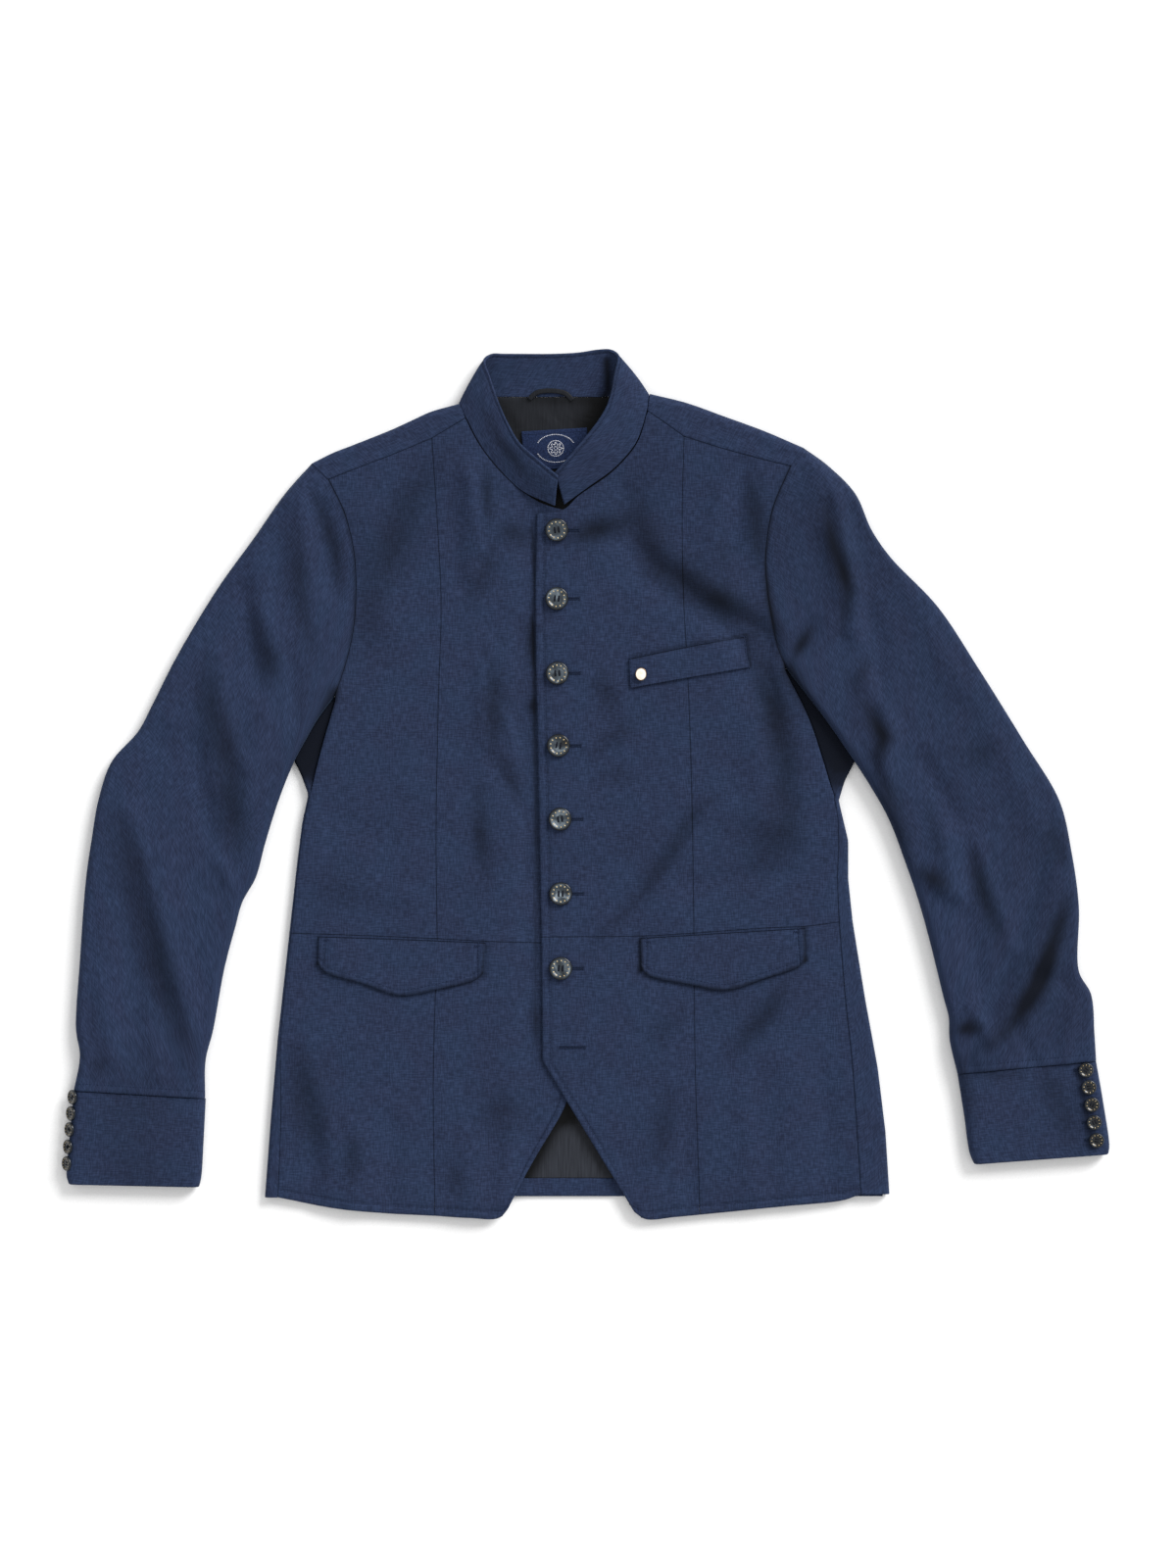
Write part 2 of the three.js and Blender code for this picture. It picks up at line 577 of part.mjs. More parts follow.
// One section of a wrapped edge: from the floor, round the fold and back over the top.
function wrapSection({ fold, inward, radius, strip, height, thickness }) {
  const outer = [];
  const inner = [];
  const place = (distance, z) => new THREE.Vector3(fold.x, fold.y, z).addScaledVector(inward, distance);
  outer.push(place(radius + WRAP_OVERLAP, 0));
  inner.push(place(radius + WRAP_OVERLAP, thickness));
  const seamAngle = strip >= radius ? Math.PI / 2 : Math.acos(1 - strip / radius) - SEAM / radius;
  const around = (reach, angle) => place(radius - reach * Math.cos(angle), radius + reach * Math.sin(angle));
  for (let step = 0; step <= TURNS.wrap; step += 1) {
    const angle = THREE.MathUtils.lerp(-Math.PI / 2, seamAngle, step / TURNS.wrap);
    outer.push(around(radius, angle));
    inner.push(around(radius - thickness, angle));
  }
  const start = outer[outer.length - 1];
  const startInner = inner[inner.length - 1];
  for (let step = 1; step <= COLUMNS.shoulderWrap; step += 1) {
    const share = step / COLUMNS.shoulderWrap;
    const reach = strip >= radius ? strip - SEAM - radius : 0;
    const ahead = Math.max(reach * share, 0.02 * step);
    const beyond = start.clone().addScaledVector(inward, ahead);
    const rise = strip >= radius ? height(beyond.x, beyond.y) - 2 * radius : 0;
    beyond.z = start.z + rise;
    const within = startInner.clone().addScaledVector(inward, ahead);
    within.z = startInner.z + rise;
    outer.push(beyond);
    inner.push(within);
  }
  return { outer, inner };
}

// The sections lie level with the places of the front's own side edge, so that both edges match.
function sideWrap({ side, sideLower, wrap, inward }) {
  const seam = chain(sample(side, ROWS.side), sample(sideLower, ROWS.lower));
  const folds = wrap.map(({ fold }) => fold);
  const heights = wrap.map(({ fold, height }) => [height, fold[1]]);
  const sections = seam.map(({ x, y }) => {
    const foldX = readTable(folds, y, 1);
    const loftiness = readTable(heights, y, 1);
    return wrapSection({
      fold: vector([foldX, y]),
      inward: new THREE.Vector3(inward, 0, 0),
      radius: loftiness / 2,
      strip: inward * (x - foldX),
      height: loftiness < BODY_HEIGHT ? () => loftiness : bodyHeight,
      thickness: CLOTH,
    });
  });
  return wall(sections.map((section) => section.outer), sections.map((section) => section.inner));
}

function shoulderWrap(half) {
  const folds = sample(half.shoulderFold, TURNS.shoulder);
  const seams = chain(sample(half.shoulderSeam, TURNS.shoulder - COLUMNS.neckSide),
    sample(half.neckShoulderSeam, COLUMNS.neckSide));
  const sections = folds.map((fold, index) => {
    const run = seams[index].clone().sub(fold);
    return wrapSection({
      fold,
      inward: run.clone().normalize(),
      radius: SHOULDER_HEIGHT / 2,
      strip: run.length(),
      height: bodyHeight,
      thickness: BACK_CLOTH,
    });
  });
  return wall(sections.map((section) => section.outer), sections.map((section) => section.inner));
}

// The flat of the back on the floor, drawn in from the folds and up to the armholes.
function backOutline(inset) {
  const shoulderInset = inset + SHOULDER_HEIGHT / 2 - BODY_HEIGHT / 2;
  const armholeInset = inset - BODY_HEIGHT / 2 - WRAP_OVERLAP / 2 + SEAM;
  const sideOf = (wrap, inward) => wrap.map(({ fold }) => vector([fold[0] + inward * inset, fold[1]]));
  const shoulderOf = (half) => half.shoulderFold.map(([x, y]) => vector([x, y - shoulderInset]));
  const armholeOf = (half, inward) => sample(half.backArmhole, ROWS.armhole).slice(1, -1)
    .map((point) => point.add(new THREE.Vector3(inward * armholeInset, 0, 0)));
  return [
    ...reversed(sideOf(RIGHT_WRAP, 1)),
    ...reversed(armholeOf(RIGHT, 1)),
    ...shoulderOf(RIGHT).slice(1),
    vector([-100, NECK_EDGE]),
    vector([40, NECK_EDGE]),
    ...reversed(shoulderOf(LEFT).slice(1)),
    ...armholeOf(LEFT, -1),
    ...sideOf(LEFT_WRAP, -1),
  ];
}

function backGeometry() {
  const flat = slab(backOutline(BODY_HEIGHT / 2 + WRAP_OVERLAP / 2), 0, BACK_CLOTH);
  const wraps = [sideWrap(RIGHT_HALF), sideWrap(LEFT_HALF), shoulderWrap(RIGHT), shoulderWrap(LEFT)];
  return toGeometry(wraps.reduce((solid, wrap) => solid.add(toSolid(wrap)), toSolid(flat)));
}

// Sleeves

// Shares across a section: close together where it rolls round its two folds.
function rolledShares(width, radius, middle) {
  const near = ROLL_STEPS.map((angle) => (radius * (1 - Math.cos(angle))) / width);
  const far = reversed(near).map((share) => 1 - share);
  const inside = [];
  for (let step = 1; step < middle; step += 1) {
    inside.push(THREE.MathUtils.lerp(near[near.length - 1], far[0], step / middle));
  }
  return [...near, ...inside, ...far];
}

// Sections of a sleeve, evenly spread over its table, each with the height of its two folds.
// follow is how closely a section still follows the armhole, from 1 at the armhole to 0.
function sleeveSections(rows, start) {
  const outer = tableCurve(rows.map((row) => row.outer), ROWS.sleeve);
  const inner = tableCurve(rows.map((row) => row.inner), ROWS.sleeve);
  const seamHeights = [start[0], start[start.length - 1]].map(({ x, y }) => 2 * bodyHeight(x, y));
  return outer.map((point, index) => {
    const follow = 1 - THREE.MathUtils.smoothstep(index / ROWS.sleeve, 0, ARMHOLE_REACH);
    const heights = seamHeights.map((height) => THREE.MathUtils.lerp(SLEEVE_HEIGHT, height, follow ** 2));
    return { outer: point, inner: inner[index], follow, heights };
  });
}

// Sections stay paired as the table pairs them, so the curves are read by row, not by length.
function tableCurve(points, count) {
  return new THREE.CatmullRomCurve3(points.map(vector), false, 'centripetal').getPoints(count);
}

// Places across a sleeve section. Each tells its height there, its distance from the nearer fold,
// and how far the cloth leans outwards, from 1 at the fold to 0 on the flat.
function sectionPlaces({ outer, inner, heights, follow }, start, middle) {
  const width = outer.distanceTo(inner);
  const last = start.length - 1;
  return rolledShares(width, SLEEVE_HEIGHT / 2, middle).map((rolled, index) => {
    const share = THREE.MathUtils.lerp(rolled, index / last, follow);
    const chord = new THREE.Vector3().lerpVectors(start[0], start[last], index / last);
    const bow = start[index].clone().sub(chord).multiplyScalar(follow);
    const place = new THREE.Vector3().lerpVectors(outer, inner, share).add(bow);
    const height = THREE.MathUtils.lerp(...heights, share);
    const distance = Math.min(share, 1 - share) * width;
    const lean = Math.max(1 - (2 * distance) / height, 0);
    const inward = inner.clone().sub(outer).setLength(index < last / 2 ? 1 : -1);
    return { place, height, distance, lean, inward };
  });
}

// The upper half of a sleeve, from its cap at the armhole down to its hem.
function sleeveUpper(half, rows) {
  const start = chain(sample(half.capSeam, TURNS.cap), sample(half.armhole, ROWS.armhole));
  const middle = start.length - 1 - 2 * (ROLL_STEPS.length - 1);
  const levelAt = ({ place, height, distance }) => (
    rollDown(height, distance) + foldRise(place.x, place.y) * fadedIn(distance));
  const sections = sleeveSections(rows, start);
  const steps = sectionPlaces(sections[0], start, middle)
    .map((point) => bodyHeight(point.place.x, point.place.y) - levelAt(point));
  const outer = [];
  const inner = [];
  for (const section of sections) {
    const faces = sectionPlaces(section, start, middle).map((point, index) => {
      const level = levelAt(point) + steps[index] * section.follow ** 2 + SEAM;
      return clothAt(point, level, -1);
    });
    outer.push(faces.map((face) => face.foot));
    inner.push(faces.map((face) => face.within));
  }
  return wall(endsDrawnIn(outer), endsDrawnIn(inner));
}

// The lower half of a sleeve, flat on the floor between its folds.
function sleeveUnder(half, rows) {
  const middle = TURNS.underSleeve;
  const start = sample(half.backArmhole, middle + 2 * (ROLL_STEPS.length - 1));
  const outer = [];
  const inner = [];
  for (const section of sleeveSections(rows, start)) {
    const faces = sectionPlaces(section, start, middle).map((point) => {
      const level = point.height - rollDown(point.height, point.distance);
      return clothAt(point, Math.max(level - SEAM * point.lean, 0), 1);
    });
    outer.push(faces.map((face) => face.foot));
    inner.push(faces.map((face) => face.within));
  }
  return wall(endsDrawnIn(outer), endsDrawnIn(inner));
}

// The two faces of the cloth at a place: its thickness goes inwards, and up or down.
function clothAt({ place, lean, inward }, level, upwards) {
  const foot = place.clone().setZ(level);
  const within = foot.clone().addScaledVector(inward, lean * CLOTH);
  within.z += upwards * CLOTH * Math.sqrt(1 - lean * lean);
  return { foot, within };
}

// Draws in the first and last section of a sleeve by half a seam.
function endsDrawnIn(grid) {
  const last = grid.length - 1;
  return grid.map((row, index) => row.map((point, column) => {
    if (index > 0 && index < last) {
      return point;
    }
    const next = grid[index === 0 ? 1 : last - 1][column];
    return point.clone().add(next.clone().sub(point).setLength(SEAM));
  }));
}

// A cuff: a flattened band all round the wrist.
function cuffBand(rows) {
  const radius = CUFF_HEIGHT / 2;
  const lift = (SLEEVE_HEIGHT - CUFF_HEIGHT) / 4;
  const outer = [];
  const inner = [];
  rows.forEach((row) => {
    const [start, end] = [vector(row.outer), vector(row.inner)];
    const towards = end.clone().sub(start).normalize();
    const width = start.distanceTo(end);
    const loop = (inset) => {
      const points = [];
      const reach = radius - inset;
      const around = (centre, angle) => {
        const z = radius + reach * Math.sin(angle) + (Math.sin(angle) > 0 ? lift * Math.sin(angle) : 0);
        return start.clone().addScaledVector(towards, centre + reach * Math.cos(angle)).setZ(z);
      };
      for (let step = 0; step <= TURNS.cuff; step += 1) {
        const angle = THREE.MathUtils.lerp(-Math.PI / 2, Math.PI / 2, step / TURNS.cuff);
        points.push(around(width - radius, angle));
      }
      points.push(around(width / 2, Math.PI / 2));
      for (let step = 0; step <= TURNS.cuff; step += 1) {
        const angle = THREE.MathUtils.lerp(Math.PI / 2, 1.5 * Math.PI, step / TURNS.cuff);
        points.push(around(radius, angle));
      }
      points.push(around(width / 2, 1.5 * Math.PI));
      return points;
    };
    outer.push(loop(0));
    inner.push(loop(CLOTH));
  });
  return tube(outer, inner);
}

// The collar

function collarBand() {
  const { around, across, bow } = COLLAR_STEPS;
  const bases = tableCurve(COLLAR.map((row) => row.base), around);
  const tops = tableCurve(COLLAR.map((row) => row.top), around);
  const middle = bases.map((base, index) => {
    const before = bases[Math.max(index - 1, 0)];
    const after = bases[Math.min(index + 1, around)];
    const run = after.clone().sub(before);
    const out = new THREE.Vector3().crossVectors(tops[index].clone().sub(base), run).normalize();
    const points = [];
    for (let step = 0; step <= across; step += 1) {
      const share = step / across;
      const point = new THREE.Vector3().lerpVectors(base, tops[index], share);
      points.push(point.addScaledVector(out, bow * Math.sin(Math.PI * share)));
    }
    return points;
  });
  const normalAt = (row, column) => {
    const before = middle[Math.max(row - 1, 0)][column];
    const after = middle[Math.min(row + 1, around)][column];
    const low = middle[row][Math.max(column - 1, 0)];
    const high = middle[row][Math.min(column + 1, across)];
    return new THREE.Vector3().crossVectors(high.clone().sub(low), after.clone().sub(before)).normalize();
  };
  const offset = (distance) => middle.map((points, row) => points.map((point, column) => (
    point.clone().addScaledVector(normalAt(row, column), distance))));
  const grounded = (grid) => grid.map((row) => row.map((point) => point.setZ(Math.max(point.z, 0))));
  return wall(grounded(offset(COLLAR_CLOTH / 2)), grounded(offset(-COLLAR_CLOTH / 2)));
}

// Pieces that lie on a panel

function pocketPiece({ top, free }, height) {
  const across = FLAP_STEPS.across;
  const upper = sample(top, across);
  const lower = sample(free, across);
  const plan = patch({
    bottom: lower,
    top: upper,
    left: sample([free[0], top[0]], FLAP_STEPS.down),
    right: sample([free[free.length - 1], top[top.length - 1]], FLAP_STEPS.down),
  });
  return clothOver(plan, height, CLOTH, CLOTH + 2 * GAP);
}

// The lowest level at which a flat disc clears the cloth below it.
function seatHeight([x, y], radius, height) {
  let level = height(x, y);
  for (let step = 0; step < TURNS.seat; step += 1) {
    const angle = (step / TURNS.seat) * 2 * Math.PI;
    level = Math.max(level, height(x + radius * Math.cos(angle), y + radius * Math.sin(angle)));
  }
  return level + GAP;
}

function buttonGeometry({ diameter, height, rim, dish, sides }) {
  const radius = diameter / 2;
  const profile = [
    [0, 0],
    [radius - rim, 0],
    [radius, height / 2],
    [radius - rim, height],
    [radius * DISH_SHARE, height - dish],
    [0, height - dish],
  ];
  const lathe = new THREE.LatheGeometry(profile.map(([x, y]) => new THREE.Vector2(x, y)), sides);
  return lathe.rotateX(Math.PI / 2);
}

function loopStrip() {
  const line = sample(LOOP.path, LOOP.steps);
  const outer = [];
  const inner = [];
  line.forEach((point, index) => {
    const [before, after] = [line[Math.max(index - 1, 0)], line[Math.min(index + 1, LOOP.steps)]];
    const run = after.clone().sub(before).normalize();
    const side = new THREE.Vector3(-run.y, run.x, 0).multiplyScalar(LOOP.width / 2);
    const at = (sign, z) => point.clone().addScaledVector(side, sign).setZ(z);
    outer.push([at(-1, LOOP_FLOOR + LOOP.thickness), at(1, LOOP_FLOOR + LOOP.thickness)]);
    inner.push([at(-1, LOOP_FLOOR), at(1, LOOP_FLOOR)]);
  });
  return wall(outer, inner);
}

function pinGeometry() {
  const shape = new THREE.Shape().absellipse(0, 0, PIN.breadth / 2, PIN.length / 2, 0, 2 * Math.PI);
  const settings = { depth: PIN.height, bevelEnabled: false, curveSegments: PIN.sides };
  return new THREE.ExtrudeGeometry(shape, settings);
}

// The garment

const RIGHT_HALF = withSideSeam(RIGHT, RIGHT_WRAP, 1);
const LEFT_HALF = withSideSeam(LEFT, LEFT_WRAP, -1);
const blazer = new THREE.Group();

function piece(name, geometry, finish, place = [0, 0, 0]) {
  const mesh = new THREE.Mesh(geometry, new THREE.MeshStandardMaterial(finish));
  mesh.name = name;
  mesh.position.set(...place);
  blazer.add(mesh);
  return mesh;
}

const fronts = [
  { side: 'right', half: RIGHT_HALF, height: rightFrontHeight },
  { side: 'left', half: LEFT_HALF, height: bodyHeight },
];
for (const { side, half, height } of fronts) {
  piece(`front_${side}_side`, sideUpper(half, height), NAVY);
  piece(`front_${side}_centre`, centreUpper(half, height), NAVY);
  piece(`front_${side}_side_skirt`, sideLower(half, height), NAVY);
  piece(`front_${side}_centre_skirt`, centreLower(half, height), NAVY);
}

piece('back', backGeometry(), NAVY);
const liningEdge = backOutline(LINING_INSET);
const liningHem = liningEdge.map((point) => vector([point.x, Math.max(point.y, HEM_STRIP_TOP + SEAM)]));
const hemEnd = (wrap) => wrap[wrap.length - 1].fold[0];
const [hemRight, hemLeft] = [hemEnd(RIGHT_WRAP) + LINING_INSET, hemEnd(LEFT_WRAP) - LINING_INSET];
const stripTop = HEM_STRIP_TOP - SEAM;
const hemStrip = [[hemRight, BACK_HEM], [hemLeft, BACK_HEM], [hemLeft, stripTop], [hemRight, stripTop]];
piece('lining_back', slab(liningHem, BACK_CLOTH + GAP, LINING), CHARCOAL);
piece('hem_facing_back', slab(hemStrip.map(vector), BACK_CLOTH + GAP, LINING), NAVY);

const sleeves = [
  { side: 'right', half: RIGHT, rows: RIGHT_SLEEVE, cuff: RIGHT_CUFF, buttons: RIGHT_CUFF_BUTTONS,
    inward: 1 },
  { side: 'left', half: LEFT, rows: LEFT_SLEEVE, cuff: LEFT_CUFF, buttons: LEFT_CUFF_BUTTONS,
    inward: -1 },
];
for (const { side, half, rows, cuff, buttons, inward } of sleeves) {
  piece(`sleeve_${side}_upper`, sleeveUpper(half, rows), NAVY);
  piece(`sleeve_${side}_under`, sleeveUnder(half, rows), NAVY);
  piece(`cuff_${side}`, cuffBand(cuff), NAVY);
  const edge = cuff.map((row) => row.outer);
  buttons.y.forEach((y, index) => {
    const tilt = THREE.MathUtils.degToRad(buttons.tilt);
    const radius = CUFF_HEIGHT / 2;
    const away = radius + (SLEEVE_HEIGHT - CUFF_HEIGHT) / 4 + 2 * GAP;
    const centreX = readTable(edge, y, 1) + inward * buttons.inFromFold;
    const place = [centreX + Math.sin(tilt) * away, y, radius + Math.cos(tilt) * away];
    const button = piece(`button_cuff_${side}_${index + 1}`, buttonGeometry(CUFF_BUTTON), HORN, place);
    button.rotation.y = tilt;
  });
}

piece('collar', collarBand(), NAVY);
piece('flap_right', pocketPiece(RIGHT_FLAP, bodyHeight), NAVY);
piece('flap_left', pocketPiece(LEFT_FLAP, bodyHeight), NAVY);
piece('welt_breast', pocketPiece(WELT, bodyHeight), NAVY);
piece('hanger_loop', loopStrip(), CHARCOAL);
piece('neck_label', slab(LABEL.corners.map(vector), LINING_TOP + GAP, LABEL.thickness), LABEL_BLUE);

const pinFloor = seatHeight(PIN.centre, PIN.length / 2, bodyHeight) + CLOTH + 2 * GAP;
piece('welt_pin', pinGeometry(), ENAMEL, [...PIN.centre, pinFloor]);

FRONT_BUTTONS.forEach((place, index) => {
  const level = seatHeight(place, FRONT_BUTTON.diameter / 2, bodyHeight);
  piece(`button_front_${index + 1}`, buttonGeometry(FRONT_BUTTON), HORN, [...place, level + GAP]);
});

export default blazer;
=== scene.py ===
"""A stand-collar blazer in navy wool, laid flat on its back with its front up, on a pale floor.

Tables and sizes are in millimetres in the part's own frame: +X to the wearer's left, +Y to the collar, +Z up.
Meshes are made in metres. Right and left are the wearer's.
"""

import logging
import math
from dataclasses import dataclass, field
from enum import Enum
from functools import partial
from typing import Callable, Optional, Sequence

import bmesh
import bpy
import numpy as np
from bpy.types import Material, Mesh, Node, NodeSocket, NodeTree, Object
from mathutils import Matrix, Vector


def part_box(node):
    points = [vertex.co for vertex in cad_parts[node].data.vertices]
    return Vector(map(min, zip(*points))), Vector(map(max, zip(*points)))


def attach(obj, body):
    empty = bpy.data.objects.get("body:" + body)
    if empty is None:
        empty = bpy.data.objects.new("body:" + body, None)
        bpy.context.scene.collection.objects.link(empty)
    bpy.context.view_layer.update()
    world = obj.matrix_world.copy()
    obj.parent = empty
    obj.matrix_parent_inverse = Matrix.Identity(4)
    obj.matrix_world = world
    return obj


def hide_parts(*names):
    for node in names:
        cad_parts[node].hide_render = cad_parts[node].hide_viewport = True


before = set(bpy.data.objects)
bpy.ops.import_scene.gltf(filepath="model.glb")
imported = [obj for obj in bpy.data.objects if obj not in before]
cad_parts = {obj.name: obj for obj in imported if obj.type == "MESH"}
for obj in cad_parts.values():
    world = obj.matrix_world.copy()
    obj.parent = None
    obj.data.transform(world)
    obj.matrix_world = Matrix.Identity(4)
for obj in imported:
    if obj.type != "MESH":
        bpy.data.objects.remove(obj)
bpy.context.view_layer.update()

logging.basicConfig(level=logging.INFO, format="%(message)s")
LOG = logging.getLogger("blazer")

MM = 0.001
Table = Sequence[Sequence[float]]
Array = np.ndarray
Grid = np.ndarray
Height = Callable[[Array, Array], Array]

# Cloths and clearances
CLOTH = 1.8
BACK_CLOTH = 2.0
LINING = 1.0
COLLAR_CLOTH = 2.4
GAP = 0.3
SEAM = GAP / 2
# How far the cloth over a shoulder is turned in under the sleeve cap
TURNED_IN = 0.5
LAP_DROP = CLOTH + 1.0
LINING_TOP = BACK_CLOTH + GAP + LINING

# Heights of the laid garment
BODY_HEIGHT = 8.8
SHOULDER_HEIGHT = 15.0
WEB_HEIGHT = 5.2
SLEEVE_HEIGHT = 14.0
CUFF_HEIGHT = 12.6
CUFF_LIFT = (SLEEVE_HEIGHT - CUFF_HEIGHT) / 4
SHOULDER_SLOPE = (25.0, 125.0)
LAP = (-72.0, -50.0)
LAP_MIDDLE = -28.0
LAP_REACH = (22.0, 44.0)
RELIEF_GAP = 0.4
NECK_EDGE = 347.9
BACK_HEM = -370.5
HEM_STRIP_TOP = -354.5
LINING_INSET = 15.0
WRAP_END = BODY_HEIGHT / 2 + 1.5
TOPSTITCH = 8.0

# Edges of the right half of the front, on the floor plan
RIGHT = {
    "shoulder_fold": [(-248, 288), (-229, 297.5), (-211, 304.5), (-176, 318.5), (-158.5, 326.5),
                      (-141, 334.5), (-119.5, 340.5)],
    "shoulder_seam": [(-232.5, 273), (-211, 281.5), (-176, 295), (-140, 310)],
    "neck_shoulder_seam": [(-140, 310), (-110, 328)],
    "neckline": [(-110, 328), (-97, 303.5), (-73, 274.5), (-44, 253.5), (-22, 246.5), (-7, 244.5)],
    "cap_seam": [(-248, 288), (-232.5, 273)],
    "armhole": [(-232.5, 273), (-218, 242), (-209.5, 202.5), (-209.5, 149.5), (-215.5, 116), (-228, 77.5)],
    "back_armhole": [(-248, 288), (-236, 246.5), (-228, 193.5), (-225, 141), (-228, 77.5)],
    "side": [(-228, 77.5), (-241, 33.5), (-251.5, -9.5), (-257, -35), (-261.5, -70.5), (-268.5, -134)],
    "side_lower": [(-268.5, -134), (-279, -229), (-285, -299), (-290.5, -371.5)],
    "princess": [(-140, 310), (-135.5, 237.5), (-132, 158.5), (-134.5, 75), (-136.5, -44), (-135.5, -139)],
    "princess_lower": [(-135.5, -139), (-139, -264), (-137.5, -388)],
    "front_edge": [(-7, 244.5), (-7, -143.5)],
    "front_edge_lower": [(-7, -143.5), (-7, -251)],
    "front_edge_cut": [(-7, -251), (-21, -290.5), (-48.5, -338), (-72, -382)],
    "waist": [(-268.5, -134), (-193.5, -136.5), (-135.5, -139)],
    "waist_centre": [(-135.5, -139), (-88, -141.5), (-7, -143.5)],
    "hem": [(-290.5, -371.5), (-229, -381), (-185, -385.5), (-137.5, -388)],
    "hem_centre": [(-137.5, -388), (-105.5, -390), (-80, -390), (-72, -382)],
}

# Edges of the left half, which laps over the right one
LEFT = {
    "shoulder_fold": [(193.5, 302), (158.5, 317), (123, 330), (88, 342.5), (57.5, 350)],
    "shoulder_seam": [(181.5, 285), (158.5, 290.5), (123, 300), (86, 311.5)],
    "neck_shoulder_seam": [(86, 311.5), (53.5, 334.5)],
    "neckline": [(53.5, 334.5), (44, 306), (22, 280.5), (-9, 258.5), (-22, 246.5), (-46, 243)],
    "cap_seam": [(193.5, 302), (181.5, 285)],
    "armhole": [(181.5, 285), (165.5, 246.5), (159.5, 202.5), (162, 167), (170.5, 123), (178, 104)],
    "back_armhole": [(193.5, 302), (183, 255), (177, 202.5), (175, 149.5), (178, 104)],
    "side": [(178, 104), (202.5, 54.5), (218, 4.5), (234, -51), (234, -85.5), (238, -124)],
    "side_lower": [(238, -124), (249, -192), (260.5, -255), (267.5, -312.5), (271, -368.5)],
    "princess": [(86, 311.5), (84.5, 237.5), (86, 163), (90, 88), (93.5, -26.5), (95, -134)],
    "princess_lower": [(95, -134), (96, -246.5), (100.5, -387)],
    "front_edge": [(-46, 243), (-47.5, 158.5), (-45, 17.5), (-42, -137.5)],
    "front_edge_lower": [(-42, -137.5), (-41, -249)],
    "front_edge_cut": [(-41, -249), (-19.5, -284.5), (31, -367), (41.5, -384.5)],
    "waist": [(238, -124), (193.5, -128), (158.5, -129.5), (95, -134)],
    "waist_centre": [(95, -134), (53, -136.5), (-42, -137.5)],
    "hem": [(271, -368.5), (229, -374), (176, -379.5), (100.5, -387)],
    "hem_centre": [(100.5, -387), (79, -389), (52, -391), (41.5, -384.5)],
}

# Side folds from the underarm down: place of the fold, breadth of back that shows on top, height of the fold
RIGHT_WRAP = [
    (-228, 77.5, 1.5, WEB_HEIGHT), (-236, 68.5, 6.8, WEB_HEIGHT), (-245.2, 56, 12.4, WEB_HEIGHT),
    (-250, 48, 14.8, WEB_HEIGHT), (-265, 22, 22.7, WEB_HEIGHT),
    (-258, 8, 12.3, WEB_HEIGHT), (-251.5, -9.5, 1.5, BODY_HEIGHT), (-257, -35, 1.5, BODY_HEIGHT),
    (-261.5, -70.5, 1.5, BODY_HEIGHT), (-268.5, -134, 1.5, BODY_HEIGHT), (-279, -229, 3, BODY_HEIGHT),
    (-285, -299, 9, BODY_HEIGHT), (-290.5, -371.5, 12, BODY_HEIGHT),
]
LEFT_WRAP = [
    (178, 104, 1.5, WEB_HEIGHT), (214.5, 60, 16.2, WEB_HEIGHT), (240.5, 21, 29, WEB_HEIGHT),
    (231, 3, 14.1, WEB_HEIGHT), (225.5, -15, 3, BODY_HEIGHT), (234, -51, 9, BODY_HEIGHT),
    (234, -85.5, 10, BODY_HEIGHT), (238, -124, 12.5, BODY_HEIGHT), (249, -192, 18, BODY_HEIGHT),
    (260.5, -255, 23, BODY_HEIGHT), (267.5, -312.5, 26, BODY_HEIGHT), (271, -368.5, 26, BODY_HEIGHT),
]

# Sleeve sections from the armhole to the hem: outer fold, inner fold
RIGHT_SLEEVE = [
    (-248, 288, -228, 77.5), (-272, 261, -235, 68.5), (-299, 222.5, -244, 56), (-332.5, 176, -253.5, 39.5),
    (-369.5, 114.5, -264, 20), (-391, 72, -275.5, -8), (-404, 47.5, -283, -30), (-428, 20, -290.5, -55),
    (-440, -15, -298.5, -84), (-446, -50, -310.5, -106), (-451, -85, -317, -129),
    (-456.5, -158.5, -326.5, -165), (-460, -220, -337, -222), (-456.5, -244.5, -343.5, -248),
    (-462, -275.5, -344, -282.5),
]
LEFT_SLEEVE = [
    (193.5, 302, 178, 104), (215.5, 286, 183, 97), (240, 261, 190, 88), (255, 228, 201, 74),
    (272, 203.5, 214, 57), (314, 159.5, 230, 34), (352, 102, 251, 2.5), (391.5, 38.5, 270, -31),
    (423.5, -15, 285, -70), (434.5, -61.5, 297, -105), (441, -110, 307, -141), (441, -168, 319.5, -192),
    (452, -189, 324, -209), (455, -224, 325, -230), (456.5, -249, 332, -260.5),
]

# Cuff sections from the sleeve's hem to the wrist: outer fold, inner fold
RIGHT_CUFF = [(-462, -275.8, -343.5, -282.8), (-466, -318, -345.5, -322), (-468.5, -352, -347.5, -353),
              (-466.5, -359.5, -349.5, -362)]
LEFT_CUFF = [(456.6, -249.3, 332.1, -260.8), (463, -286, 338, -298), (468.5, -325, 342.8, -331),
             (467.5, -332.5, 347, -341.5)]

